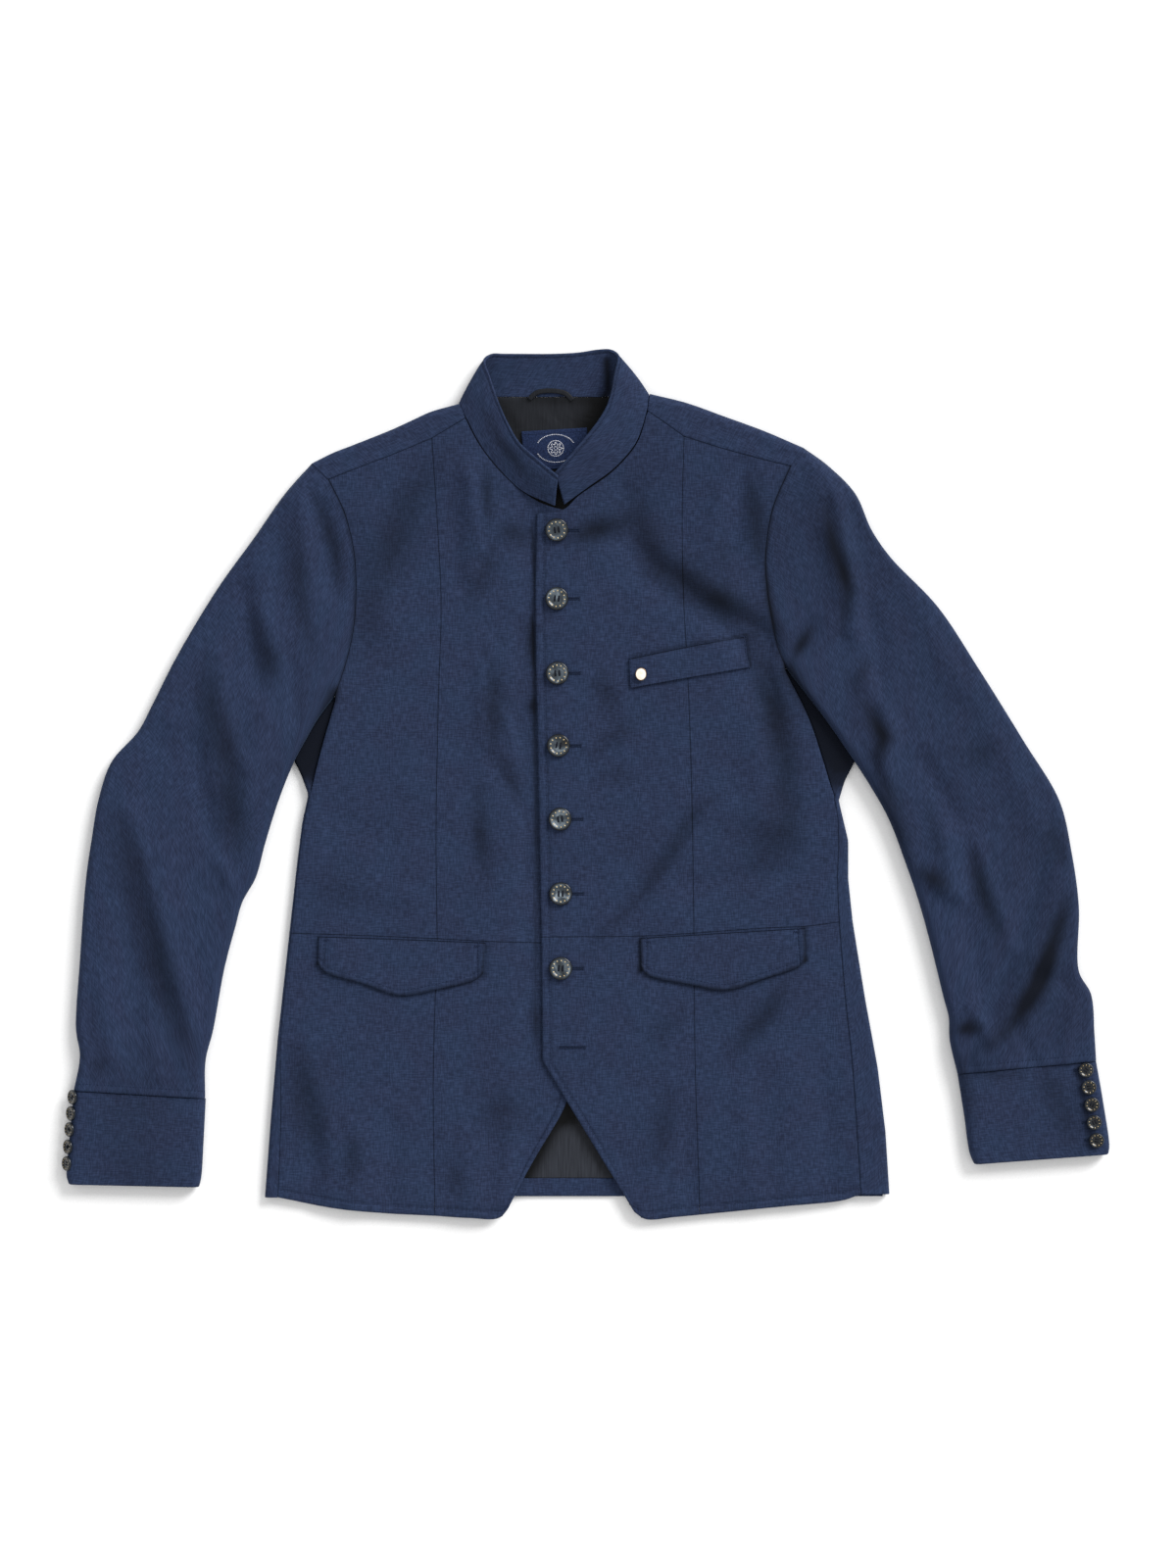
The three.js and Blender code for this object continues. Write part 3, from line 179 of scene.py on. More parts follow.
# Collar sections from its right end round the neck to its left end: seam with the body, free edge
COLLAR_BASE = [
    (-29.5, 249.8, 12.2), (-57.5, 262.5, 10.9), (-72.4, 275.3, 11.8), (-85.1, 289.1, 12.9),
    (-96.6, 304.8, 13.9), (-108.1, 326.6, 14.3),
    (-115, 341, 9.5), (-104.5, 348.8, 2.3), (-81, 348.4, 1.4), (-57, 348.4, 1.3),
    (-32.5, 348.4, 1.3), (-7, 348.4, 1.3), (16, 348.4, 1.4), (42, 350.5, 2.3), (54, 349, 9.5),
    (52.1, 333.4, 14.3), (43.4, 307.4, 14), (34.1, 294.5, 13.3), (21.1, 281.6, 12.2), (-0.4, 266.3, 10.8),
    (-21.5, 251, 9.6),
]
COLLAR_TOP = [
    (-26.5, 276, 21), (-48.5, 294, 21), (-61.5, 306, 21), (-72, 324, 21), (-81, 345, 20), (-88, 366, 17),
    (-92, 380, 12), (-86, 386.5, 6.5), (-75, 386.8, 4.6), (-53, 386.8, 4.2), (-32.5, 386.8, 4.2),
    (-9, 388, 4.2), (9, 390.6, 4.6), (20, 390.4, 6.5), (26.5, 384, 12), (24, 370, 17), (18, 342, 20),
    (10.5, 327.5, 21), (0, 313.5, 21), (-14, 297, 19.5), (-30, 279, 16.2),
]
COLLAR_BOW = 1.2

# Pocket flaps and the breast welt
RIGHT_FLAP = {"top": [(-242, -137.5), (-168, -140), (-92.5, -143)],
              "free": [(-242.5, -162), (-236, -169), (-202.5, -179.5), (-169, -190), (-132, -184),
                       (-102, -176), (-94, -170)]}
LEFT_FLAP = {"top": [(46.5, -139), (120, -134.5), (194.5, -130)],
             "free": [(47.5, -166), (55, -172.5), (92.5, -180.5), (123, -185.5), (158.5, -175), (189, -164),
                      (195, -158)]}
WELT = {"top": [(37, 112), (88, 122.5), (141.5, 132)], "free": [(38, 86), (88, 95), (144.5, 104.5)]}

# Buttons and small pieces
FRONT_BUTTONS = [(-28, 228), (-28, 166.5), (-27.5, 99.5), (-26.5, 34.5), (-25, -31.5), (-24.5, -98.5),
                 (-24.5, -165.5)]
EMPTY_BUTTONHOLE = (-13.5, -236.5)
LOOP_PATH = [(-53, 346), (-46, 352), (-31, 353.5), (-20, 351), (-14, 345)]
LABEL_CORNERS = [(-60, 317), (-1, 320.5), (2, 285), (-57, 281.5)]


class FoldKind(Enum):
    """How a fold of the laid cloth runs across its line."""

    RIDGE = "ridge"
    STEP = "step"


@dataclass(frozen=True)
class Fold:
    """A fold along a line of places, half as broad as width. A step is high on the left of its line."""

    path: Table
    width: float
    rise: float
    kind: FoldKind = FoldKind.RIDGE


def folds(*rows: Sequence[float]) -> list[Fold]:
    """Ridges from rows of width, rise and then x and y of each place of their line."""
    return [Fold(list(zip(row[2::2], row[3::2])), row[0], row[1]) for row in rows]


# The largest folds, which the solids have too. A row of these tables: width, rise, and x and y of each place
MAIN_FOLDS = folds(
    (16, 1.4, -106, 282, -88, 229), (13, -1.1, -70, 140, -58, 0), (18, -1.3, 35, 264, 78, 184),
    (20, -1.4, 78, 184, 150, 142), (20, -1.2, 150, 142, 178, 5), (14, 1.2, 60, 175, 118, 128),
    (14, 1.2, 80, -62, 18, -123), (14, 1.3, -211, -317, -209, -380), (13, 1.3, -106, -330, -102, -385),
    (16, 1.2, 180, -250, 186, -375), (12, 2.2, -262, 262, -260, 176), (10, -1.6, -238, 246, -229, 176),
    (13, 1.8, -299, 211, -290, 132), (13, 1.8, -339, 97, -334, 0), (14, 1.8, -383, -62, -374, -176),
    (11, 1.6, -366, -176, -352, -246), (11, -0.7, -405, 44, -372, 30), (10, -0.7, -312, -101, -345, -92),
    (13, 2, 207, 280, 229, 176), (10, -1.6, 180, 110, 202, 141), (14, 1.8, 246, 97, 262, 20),
    (12, 2, 317, -44, 330, -92), (9, 1.6, 299, -92, 330, -92), (14, 1.8, 427, -88, 405, -158),
    (14, 1.8, 405, -158, 361, -238), (10, -2, 441, -172, 412, -176),
)
LONGEST_RISE = 3.0

# Lesser folds and creases of the wool
FINE_FOLDS = folds(
    (9, 1.1, -110, 278, -104, 190), (6, 0.8, -98, 105, -95, 35), (5, 0.9, -72, 60, -57, -5),
    (7, 1.5, 222, 262, 232, 215, 244, 172, 240, 130), (6, -1.2, 214, 250, 222, 215, 232, 170, 226, 134),
    (7, 1.4, 254, 88, 276, 42, 268, 5), (8, 1.5, 443, -100, 428, -142, 412, -186, 390, -222, 352, -250),
    (7, 1.1, 350, -55, 362, -96, 384, -150), (6, 1.2, 300, -84, 332, -104),
    (8, 1.3, -330, 118, -326, 60, -308, 16),
    (8, 1.4, -411, -24, -395, -78, -379, -137, -362, -192, -350, -238), (8, 1.1, -292, 158, -278, 112),
    (5, 1.1, -254, 250, -250, 188), (8, 0.9, 18, -140, 56, -104, 84, -66, 106, -28),
    (9, 0.9, -253, -236, -240, -290, -229, -343), (6, -0.7, -88, 141, -53, 97), (6, -0.7, -84, 84, -51, 35),
    (7, -0.6, -90, 26, -53, -26), (6, 0.7, -75, 132, -48, 62), (9, -0.6, -57, 141, -52, -88),
    (6, 0.9, -107, 277, -97, 211), (8, -0.7, -120, 240, -116, 180), (15, 1.2, -195, 240, -186, 150),
    (9, -0.9, -176, -308, -178, -371), (9, 1.0, -70, -308, -77, -374), (9, -0.8, -245, -290, -250, -372),
    (8, -0.7, 88, -299, 92, -374), (12, 1.0, 141, -282, 148, -371), (10, -0.9, 211, -264, 220, -365),
    (11, 0.8, -238, -88, -158, -101), (13, -0.8, -230, -30, -180, -52), (11, -0.8, 88, -92, 176, -79),
    (14, 1.0, 120, -20, 196, -48), (8, -0.8, 35, -53, 0, -88), (6, 0.6, -4, 165, 35, 178),
    (6, 0.5, -4, 97, 31, 86), (7, 0.7, 0, 31, 38, 52), (6, -0.5, 0, -35, 35, -20),
    (9, -0.9, 5, 228, 40, 214), (9, -0.9, 140, 285, 132, 210), (9, 0.8, 118, 262, 112, 205),
    (14, 1.2, 150, 60, 158, -30), (8, -1.4, -308, 176, -297, 88), (9, -1.4, -352, 35, -339, -44),
    (9, 1.2, -400, 90, -378, 60), (6, 1.4, -330, -70, -312, -108), (3, 1.3, -349, -189, -343, -242),
    (3, 1.2, -322, -100, -316, -125), (9, 1.3, -440, -176, -424, -246), (12, -1.3, -415, -100, -405, -210),
    (8, 0.9, -395, -205, -384, -262), (10, 1.2, -290, 60, -306, -20), (8, -1.1, -268, 120, -262, 60),
    (10, 1.6, 216, 229, 233, 176, 229, 141), (9, -1.4, 240, 190, 262, 120, 256, 60),
    (7, 1.4, 268, 44, 262, 9), (15, 1.5, 282, 211, 334, 88), (13, 1.2, 352, 88, 405, -44),
    (9, -1.4, 300, 20, 330, -30), (9, -1.7, 405, -79, 383, -150, 361, -202), (6, 1.4, 343, -200, 361, -230),
    (9, -1.2, 340, -120, 352, -180), (7, 1.1, 436, -200, 428, -246), (6, -1.0, 384, -215, 400, -250),
) + [
    Fold([(36, 266), (47, 222), (69, 190), (101, 168), (140, 146), (164, 133), (174, 60), (180, 5)], 18, 2.2,
         FoldKind.STEP),
]
FINE_LIMITS = (-4.0, 5.5)
MAIN_GAIN = 1.5
FINE_GAIN = 1.8
BROAD_GAIN = 0.75
SMALL_GAIN = 0.2

# Painted shade of the folds: soft bands where the wool is darkened as if it lay in shade
PAINTED_SHADE_BANDS = folds(
    # Right front, from the shoulder down
    (15, 0.38, -130, 300, -163, 250, -186, 188, -202, 120), (5, 0.4, -91, 288, -89, 232),
    (8, 0.35, -86, 215, -92, 192, -104, 158), (9, 0.4, -84, 232, -48, 220),
    (8, 0.45, -86, 118, -84, 70, -87, 22), (6, 0.45, -80, 30, -70, 5, -62, -20),
    (7, 0.4, -98, 5, -97, -40, -90, -90), (3.5, 0.5, -51, 150, -51, 105), (4, 0.6, -50, 78, -49, 62),
    (4, 0.5, -47, -190, -46, -235), (18, 0.15, -244, -72, -201, -110),
    (13, 0.4, -263, -233, -250, -287, -239, -341), (7, 0.35, -209, -309, -212, -362),
    (7, 0.22, -123, -336, -115, -373), (18, 0.3, -99, -287, -51, -309),
    # Right sleeve and underarm
    (6, 0.45, -250, 270, -238, 243, -227, 212, -222, 165),
    (7, 0.4, -264, 250, -260, 200, -256, 152, -240, 100), (10, 0.45, -301, 156, -287, 113, -284, 91),
    (12, 0.45, -341, 122, -337, 70, -322, 20, -310, -60), (12, 0.3, -330, 3, -309, -72),
    (14, 0.42, -424, -18, -406, -82, -391, -142, -373, -198, -352, -252), (10, 0.3, -448, -250, -430, -256),
    # Left front
    (14, 0.6, 38, 274, 50, 230, 67, 197, 98, 176, 128, 158, 155, 143, 170, 133),
    (9, 0.55, -22, 220, 10, 229, 42, 240), (8, 0.55, 144, 280, 150, 240, 155, 192),
    (4, 0.35, 158, 200, 163, 165, 174, 118), (7, 0.2, 118, 228, 126, 184),
    (12, 0.5, 150, 134, 160, 95, 170, 55, 178, 10, 182, -50), (20, 0.3, 178, 5, 170, -40, 147, -90),
    (8, 0.3, 8, 107, 25, 58), (7, 0.25, -2, 25, 52, 64), (8, 0.22, 3, 6, 47, 6),
    (7, 0.4, 8, -140, 47, -101, 74, -63, 96, -25, 123, -8), (9, 0.38, 184, -170, 158, -210, 120, -252),
    (11, 0.2, 85, -200, 52, -238), (8, 0.25, 74, -260, 63, -347),
    # Left sleeve and underarm
    (7, 0.7, 211, 255, 219, 217, 233, 173, 227, 135), (5, 0.7, 203, 146, 183, 110),
    (6, 0.35, 254, 116, 235, 80), (7, 0.65, 244, 80, 265, 42, 257, 9),
    (8, 0.5, 262, 12, 272, -20, 293, -78), (10, 0.2, 369, 36, 336, 20), (9, 0.3, 413, -29, 429, -78),
    (6, 0.25, 304, -13, 320, -78), (8, 0.6, 293, -74, 328, -96), (7, 0.5, 342, -52, 353, -96, 375, -150),
    (8, 0.8, 432, -96, 418, -140, 402, -183, 380, -216, 347, -244), (7, 0.65, 328, -222, 356, -216),
    (5, 0.25, 342, -262, 397, -259), (12, 0.36, 406, -255, 425, -290, 442, -330),
    (5, 0.35, 333, -236, 346, -305), (5, 0.4, -97, 345, -80, 308, -60, 284, -32, 267),
)

# Painted deep shade: darker bands at the armholes, underarms, the lap, the inside of the collar, round the
# flaps and the welt
PAINTED_EDGE_SHADE = folds(
    (1.6, 0.7, -49, 236, -49, 60, -46, -140, -44, -248), (6, 0.8, -229, 82, -243, 48, -258, 16),
    (40, 0.25, -410, -300, -405, -345), (7, 0.85, 180, 102, 204, 60, 226, 20),
    (55, 0.16, 240, 240, 330, 120, 400, 0, 425, -200), (4, 0.6, 441, -254, 452, -324),
    (4, 1.0, 17, 381, 18, 354, 2, 326), (1.8, 0.55, 40, 113.5, 88, 124, 142.5, 133.5, 145.5, 105),
) + [
    Fold(RIGHT["armhole"], 1.5, 0.4),
    Fold(LEFT["armhole"], 1.5, 0.45),
    Fold(RIGHT_FLAP["free"], 2.2, 0.5),
    Fold(LEFT_FLAP["free"], 2.2, 0.6),
    Fold([RIGHT_FLAP["top"][0], RIGHT_FLAP["free"][0]], 2, 0.3),
    Fold([RIGHT_FLAP["top"][-1], RIGHT_FLAP["free"][-1]], 2.2, 0.6),
    Fold([LEFT_FLAP["top"][0], LEFT_FLAP["free"][0]], 2.4, 0.8),
    Fold([LEFT_FLAP["top"][-1], LEFT_FLAP["free"][-1]], 2.4, 0.7),
]

# Creases of the lining, and painted shade where it lies in the shade of the neck and of the front edges
LINING_CREASES = folds(
    (5, 0.5, -95, 335, -70, 300), (4, 0.5, -40, 330, -26, 318), (5, 0.45, 10, 335, -5, 322),
    (3, -0.4, -15, 338, -8, 310), (7, 0.4, -30, -270, -36, -345), (6, 0.35, 0, -300, 8, -350),
)
LINING_PAINTED_SHADE = folds(
    (6, 0.35, -55, 349, -20, 346, 20, 349), (12, 0.6, 18, 345, 2, 322), (5, 0.2, -80, 345, -62, 318),
    (20, 0.9, -45, 250, -10, 250), (7, 1.0, -20, -288, -47, -338, -66, -372),
    (9, 1.0, -20, -285, -19, -300), (4, 0.5, -18, -292, 10, -338, 30, -368),
)


# Curves on the floor plan


def curve_by_row(points: Table, rows: Array) -> Array:
    """Reads a smooth centripetal curve through a table's points.

    Args:
        points: The table's places.
        rows: Row numbers, whole or between two rows.

    Returns:
        One place for each row number.
    """
    places = np.asarray(points, float)
    ends = np.vstack([2 * places[0] - places[1], places, 2 * places[-1] - places[-2]])
    index = np.clip(np.floor(rows).astype(int), 0, len(places) - 2)
    share = (np.asarray(rows) - index)[:, None]
    before, start, end, after = (ends[index + step] for step in range(4))

    def knot(low: Array, high: Array) -> Array:
        """Square root of the distance between two places."""
        return np.sqrt(np.maximum(np.linalg.norm(high - low, axis=1), 1e-6))[:, None]

    first, middle, last = knot(before, start), knot(start, end), knot(end, after)
    lead = ((start - before) / first - (end - before) / (first + middle) + (end - start) / middle) * middle
    tail = ((end - start) / middle - (after - start) / (middle + last) + (after - end) / last) * middle
    square = -3 * start + 3 * end - 2 * lead - tail
    cube = 2 * start - 2 * end + lead + tail
    return start + lead * share + square * share**2 + cube * share**3


class Edge:
    """A line of one or more smooth stretches, read by shares of its length."""

    FINENESS = 24

    def __init__(self, *stretches: Table) -> None:
        """Joins the stretches end to end.

        Args:
            stretches: Tables of places, each starting where the last one ends.
        """
        runs = []
        for stretch in stretches:
            last = len(stretch) - 1
            run = curve_by_row(stretch, np.linspace(0, last, self.FINENESS * last + 1))
            runs.append(run[1:] if runs else run)
        self.points = np.vstack(runs)
        self._measure()

    def _measure(self) -> None:
        """Adds up the length along the line."""
        steps = np.linalg.norm(np.diff(self.points, axis=0), axis=1)
        self.marks = np.concatenate([[0.0], np.cumsum(steps)])
        self.length = float(self.marks[-1])

    def at(self, shares: Array) -> Array:
        """Places at shares of the length."""
        along = np.asarray(shares) * self.length
        return np.stack([np.interp(along, self.marks, column) for column in self.points.T], axis=-1)

    def turned(self) -> "Edge":
        """The same line from its other end."""
        copy = Edge.__new__(Edge)
        copy.points = self.points[::-1]
        copy._measure()
        return copy


def coons(bottom: Edge, top: Edge, left: Edge, right: Edge, across: Array, along: Array) -> Grid:
    """Fills four edges with a grid of places.

    Args:
        bottom: The edge at the start of the rows, which runs like top.
        top: The edge at the end of the rows.
        left: The edge at the start of the columns, which runs like right.
        right: The edge at the end of the columns.
        across: Shares at which the columns lie.
        along: Shares at which the rows lie.

    Returns:
        Rows of columns of places.
    """
    u, v = across[None, :, None], along[:, None, None]
    low, high = bottom.at(across)[None], top.at(across)[None]
    near, far = left.at(along)[:, None], right.at(along)[:, None]
    corners = (1 - v) * ((1 - u) * low[:, :1] + u * low[:, -1:])
    corners = corners + v * ((1 - u) * high[:, :1] + u * high[:, -1:])
    return (1 - v) * low + v * high + (1 - u) * near + u * far - corners


def spread(length: float, step: float, near: Sequence[float] = (), far: Sequence[float] = ()) -> Array:
    """Shares across a length, evenly spread and closer where something small needs it.

    Args:
        length: The length in millimetres.
        step: The usual distance between two shares.
        near: Distances from the start that get a share of their own.
        far: Distances from the end that get a share of their own.

    Returns:
        Rising shares from 0 to 1.
    """
    even = np.linspace(0, 1, max(int(round(length / step)), 2) + 1)
    own = np.array([0.0, 1.0, *(d / length for d in near), *(1 - d / length for d in far)])
    own = np.unique(own[(own >= 0) & (own <= 1)])
    clear = np.abs(even[:, None] - own[None]).min(axis=1) > 0.3 * step / length
    return np.sort(np.concatenate([even[clear], own]))


# Height of the laid cloth


def smoothstep(value: Array, low: float, high: float) -> Array:
    """A soft rise from 0 at low to 1 at high."""
    share = np.clip((value - low) / (high - low), 0, 1)
    return share * share * (3 - 2 * share)


def bell(distance: Array, width: float) -> Array:
    """A soft bell over a distance from its middle."""
    return np.exp(-((distance / width) ** 2))


def rounded(distance: Array, radius: float) -> Array:
    """Depth of a rounded edge at a distance from it, as a share of its radius."""
    return 1 - np.sqrt(1 - np.clip(1 - distance / radius, 0, 1) ** 2)


def unit(vectors: Array) -> Array:
    """Vectors at a length of 1."""
    return vectors / np.maximum(np.linalg.norm(vectors, axis=-1, keepdims=True), 1e-9)


def read_table(table: Table, key: Array, key_column: int, value_column: int) -> Array:
    """Reads one column of a table by another one, in straight lines between its rows."""
    rows = sorted(table, key=lambda row: row[key_column])
    return np.interp(key, [row[key_column] for row in rows], [row[value_column] for row in rows])


def roll_down(height: Array, distance: Array) -> Array:
    """A height that rolls down to half of itself, as a half circle, at an edge that is distance away."""
    radius = height / 2
    inward = radius - np.clip(distance, 0, radius)
    return radius + np.sqrt(np.maximum(radius * radius - inward * inward, 0))


def line_distance(x: Array, y: Array, path: Table) -> tuple[Array, Array, Array]:
    """Distance from places to a line of places.

    Args:
        x: Places across.
        y: Places up.
        path: The line.

    Returns:
        The distance, whether the place lies left (1) or right (-1) of the line, and the share of the line.
    """
    best = np.full(np.shape(x), 1e9)
    side = np.ones(np.shape(x))
    along = np.zeros(np.shape(x))
    segments = len(path) - 1
    for number, ((ax, ay), (bx, by)) in enumerate(zip(path[:-1], path[1:])):
        run_x, run_y = bx - ax, by - ay
        share = np.clip(((x - ax) * run_x + (y - ay) * run_y) / (run_x**2 + run_y**2), 0, 1)
        away = np.hypot(x - ax - run_x * share, y - ay - run_y * share)
        closer = away < best
        best = np.where(closer, away, best)
        side = np.where(closer, np.sign(run_x * (y - ay) - run_y * (x - ax)), side)
        along = np.where(closer, (number + share) / segments, along)
    return best, side, along


def folds_rise(x: Array, y: Array, folds: Sequence[Fold]) -> Array:
    """Adds up what folds raise at places on the plan."""
    rise = np.zeros(np.shape(x))
    for fold in folds:
        away, side, along = line_distance(x, y, fold.path)
        swell = bell(away, fold.width)
        ends = smoothstep(along, 0.0, 0.25) * (1 - smoothstep(along, 0.75, 1.0))
        if fold.kind is FoldKind.STEP:
            rise += fold.rise * 1.6 * side * (away / fold.width) * swell * ends
        else:
            rise += fold.rise * swell
    return rise


class Unevenness:
    """The small, irregular rise and fall of laid wool, the same in every run."""

    def __init__(self, seed: int, cell: float) -> None:
        """Fills a square field with fixed random values.

        Args:
            seed: What the values come from.
            cell: Distance between two values.
        """
        self.cell = cell
        self.size = 128
        self.values = np.random.default_rng(seed).uniform(-1, 1, (self.size, self.size))

    def at(self, x: Array, y: Array) -> Array:
        """Smooth values at places on the plan, from -1 to 1."""
        column, row = x / self.cell + 40, y / self.cell + 40
        left, low = np.floor(column).astype(int), np.floor(row).astype(int)
        u, v = smoothstep(column - left, 0, 1), smoothstep(row - low, 0, 1)
        read = lambda i, j: self.values[(low + j) % self.size, (left + i) % self.size]
        return (1 - v) * ((1 - u) * read(0, 0) + u * read(1, 0)) + v * ((1 - u) * read(0, 1) + u * read(1, 1))


BROAD_WAVES = Unevenness(seed=11, cell=38.0)
SMALL_WAVES = Unevenness(seed=12, cell=13.0)
SIDE_FOLDS = {1: RIGHT["side"] + RIGHT["side_lower"][1:], -1: LEFT["side"] + LEFT["side_lower"][1:]}
SHOULDER_FOLD = RIGHT["shoulder_fold"] + LEFT["shoulder_fold"][::-1]


def side_distance(x: Array, y: Array, inward: int) -> Array:
    """Distance to a side fold, whose cloth lies towards inward."""
    fold = SIDE_FOLDS[inward]
    underarm_x, underarm_y = fold[0]
    beside = inward * (x - read_table(fold, y, 1, 0))
    return np.where(y > underarm_y, np.hypot(x - underarm_x, y - underarm_y), beside)


def cloth_relief(x: Array, y: Array) -> Array:
    """Folds, creases and unevenness of the wool at places on the plan."""
    main = np.clip(folds_rise(x, y, MAIN_FOLDS), -LONGEST_RISE, LONGEST_RISE)
    waves = BROAD_GAIN * BROAD_WAVES.at(x, y) + SMALL_GAIN * SMALL_WAVES.at(x, y)
    return np.clip(main * MAIN_GAIN + FINE_GAIN * folds_rise(x, y, FINE_FOLDS) + waves, *FINE_LIMITS)


def body_height(x: Array, y: Array) -> Array:
    """Height of the outer face of the fronts."""
    to_shoulder = read_table(SHOULDER_FOLD, x, 0, 1) - y
    to_side = np.minimum(side_distance(x, y, 1), side_distance(x, y, -1))
    near_shoulder = 1 - smoothstep(to_shoulder, *SHOULDER_SLOPE)
    height = BODY_HEIGHT + (SHOULDER_HEIGHT - BODY_HEIGHT) * near_shoulder
    to_edge = np.minimum(to_shoulder, to_side)
    base = roll_down(height, to_edge)
    relief = cloth_relief(x, y) * smoothstep(to_edge, 2, 24)
    under = LINING_TOP + CLOTH + LAP_DROP * (1 - smoothstep(np.abs(x - LAP_MIDDLE), *LAP_REACH))
    room = np.maximum(base - (under + RELIEF_GAP), GAP)
    return base + np.maximum(relief, -room)


def right_front_height(x: Array, y: Array) -> Array:
    """The right front lies under the left one, from the buttons to its own edge."""
    return body_height(x, y) - LAP_DROP * smoothstep(x, *LAP)


def painted_shade_at(x: Array, y: Array) -> Array:
    """How much painted shade darkens the cloth at places on the plan, from 0 to 1."""
    soft = np.zeros(np.shape(x))
    for band in PAINTED_SHADE_BANDS:
        away, _, along = line_distance(x, y, band.path)
        ends = 0.15 + 0.85 * np.sin(math.pi * np.clip(along, 0, 1))
        soft += 1.3 * band.rise * ends * bell(away, band.width * (0.7 + 0.5 * ends))
    soft = soft * (1 + 0.25 * BROAD_WAVES.at(x * 1.6, y * 1.6)) + 0.06 * BROAD_WAVES.at(x * 0.6, y * 0.6)
    return np.clip(soft + folds_rise(x, y, PAINTED_EDGE_SHADE), 0, 1)


# Meshes


def grid_normals(points: Grid) -> Grid:
    """Unit normals of a grid of places, on the side that looks up."""
    normals = unit(np.cross(np.gradient(points, axis=1), np.gradient(points, axis=0)))
    return normals if normals[..., 2].mean() >= 0 else -normals


def distances(points: Grid) -> dict[str, Array]:
    """Distance of each place of a grid from each of its four rims, along the cloth."""
    across = np.linalg.norm(np.diff(points, axis=1), axis=-1)
    along = np.linalg.norm(np.diff(points, axis=0), axis=-1)
    from_left = np.pad(np.cumsum(across, axis=1), ((0, 0), (1, 0)))
    from_bottom = np.pad(np.cumsum(along, axis=0), ((1, 0), (0, 0)))
    return {
        "left": from_left,
        "right": from_left[:, -1:] - from_left,
        "bottom": from_bottom,
        "top": from_bottom[-1:] - from_bottom,
    }


class Rim(Enum):
    """How the rim of a piece of cloth is finished: radius of its roll, place and depth of a sewn line."""

    SEAM = (0.45, 0.0, 0.0)
    TURNED = (1.5, TOPSTITCH, 0.55)
    EDGE = (1.2, 6.4, 0.45)
    PLAIN = (0.5, 0.0, 0.0)

    @property
    def marks(self) -> list[float]:
        """Distances from the rim at which its shape needs places."""
        radius, line, _ = self.value
        roll = [radius * share for share in (0.25, 0.6, 1.0, 1.6, 2.4)]
        return roll + [line + step for step in (-1.6, -0.8, 0.0, 0.8, 1.6) if line]

    def sink(self, distance: Array) -> Array:
        """How far the outer face lies below the flat cloth at a distance from the rim."""
        radius, line, depth = self.value
        sink = radius * rounded(distance, radius)
        if line:
            sink = sink + depth * bell(distance - line, 0.9) - 0.35 * bell(distance - line / 2, line / 3)
        return sink

    def shade(self, distance: Array) -> Array:
        """How dark the painted shade along the groove of a seam or of a sewn line is at a distance from the
        rim.
        """
        _, line, depth = self.value
        if line:
            return 0.4 * depth * bell(distance - line, 0.9)
        return (0.62 if self is Rim.SEAM else 0.0) * bell(distance, 0.42)


SEAMS = dict.fromkeys(("bottom", "top", "left", "right"), Rim.SEAM)


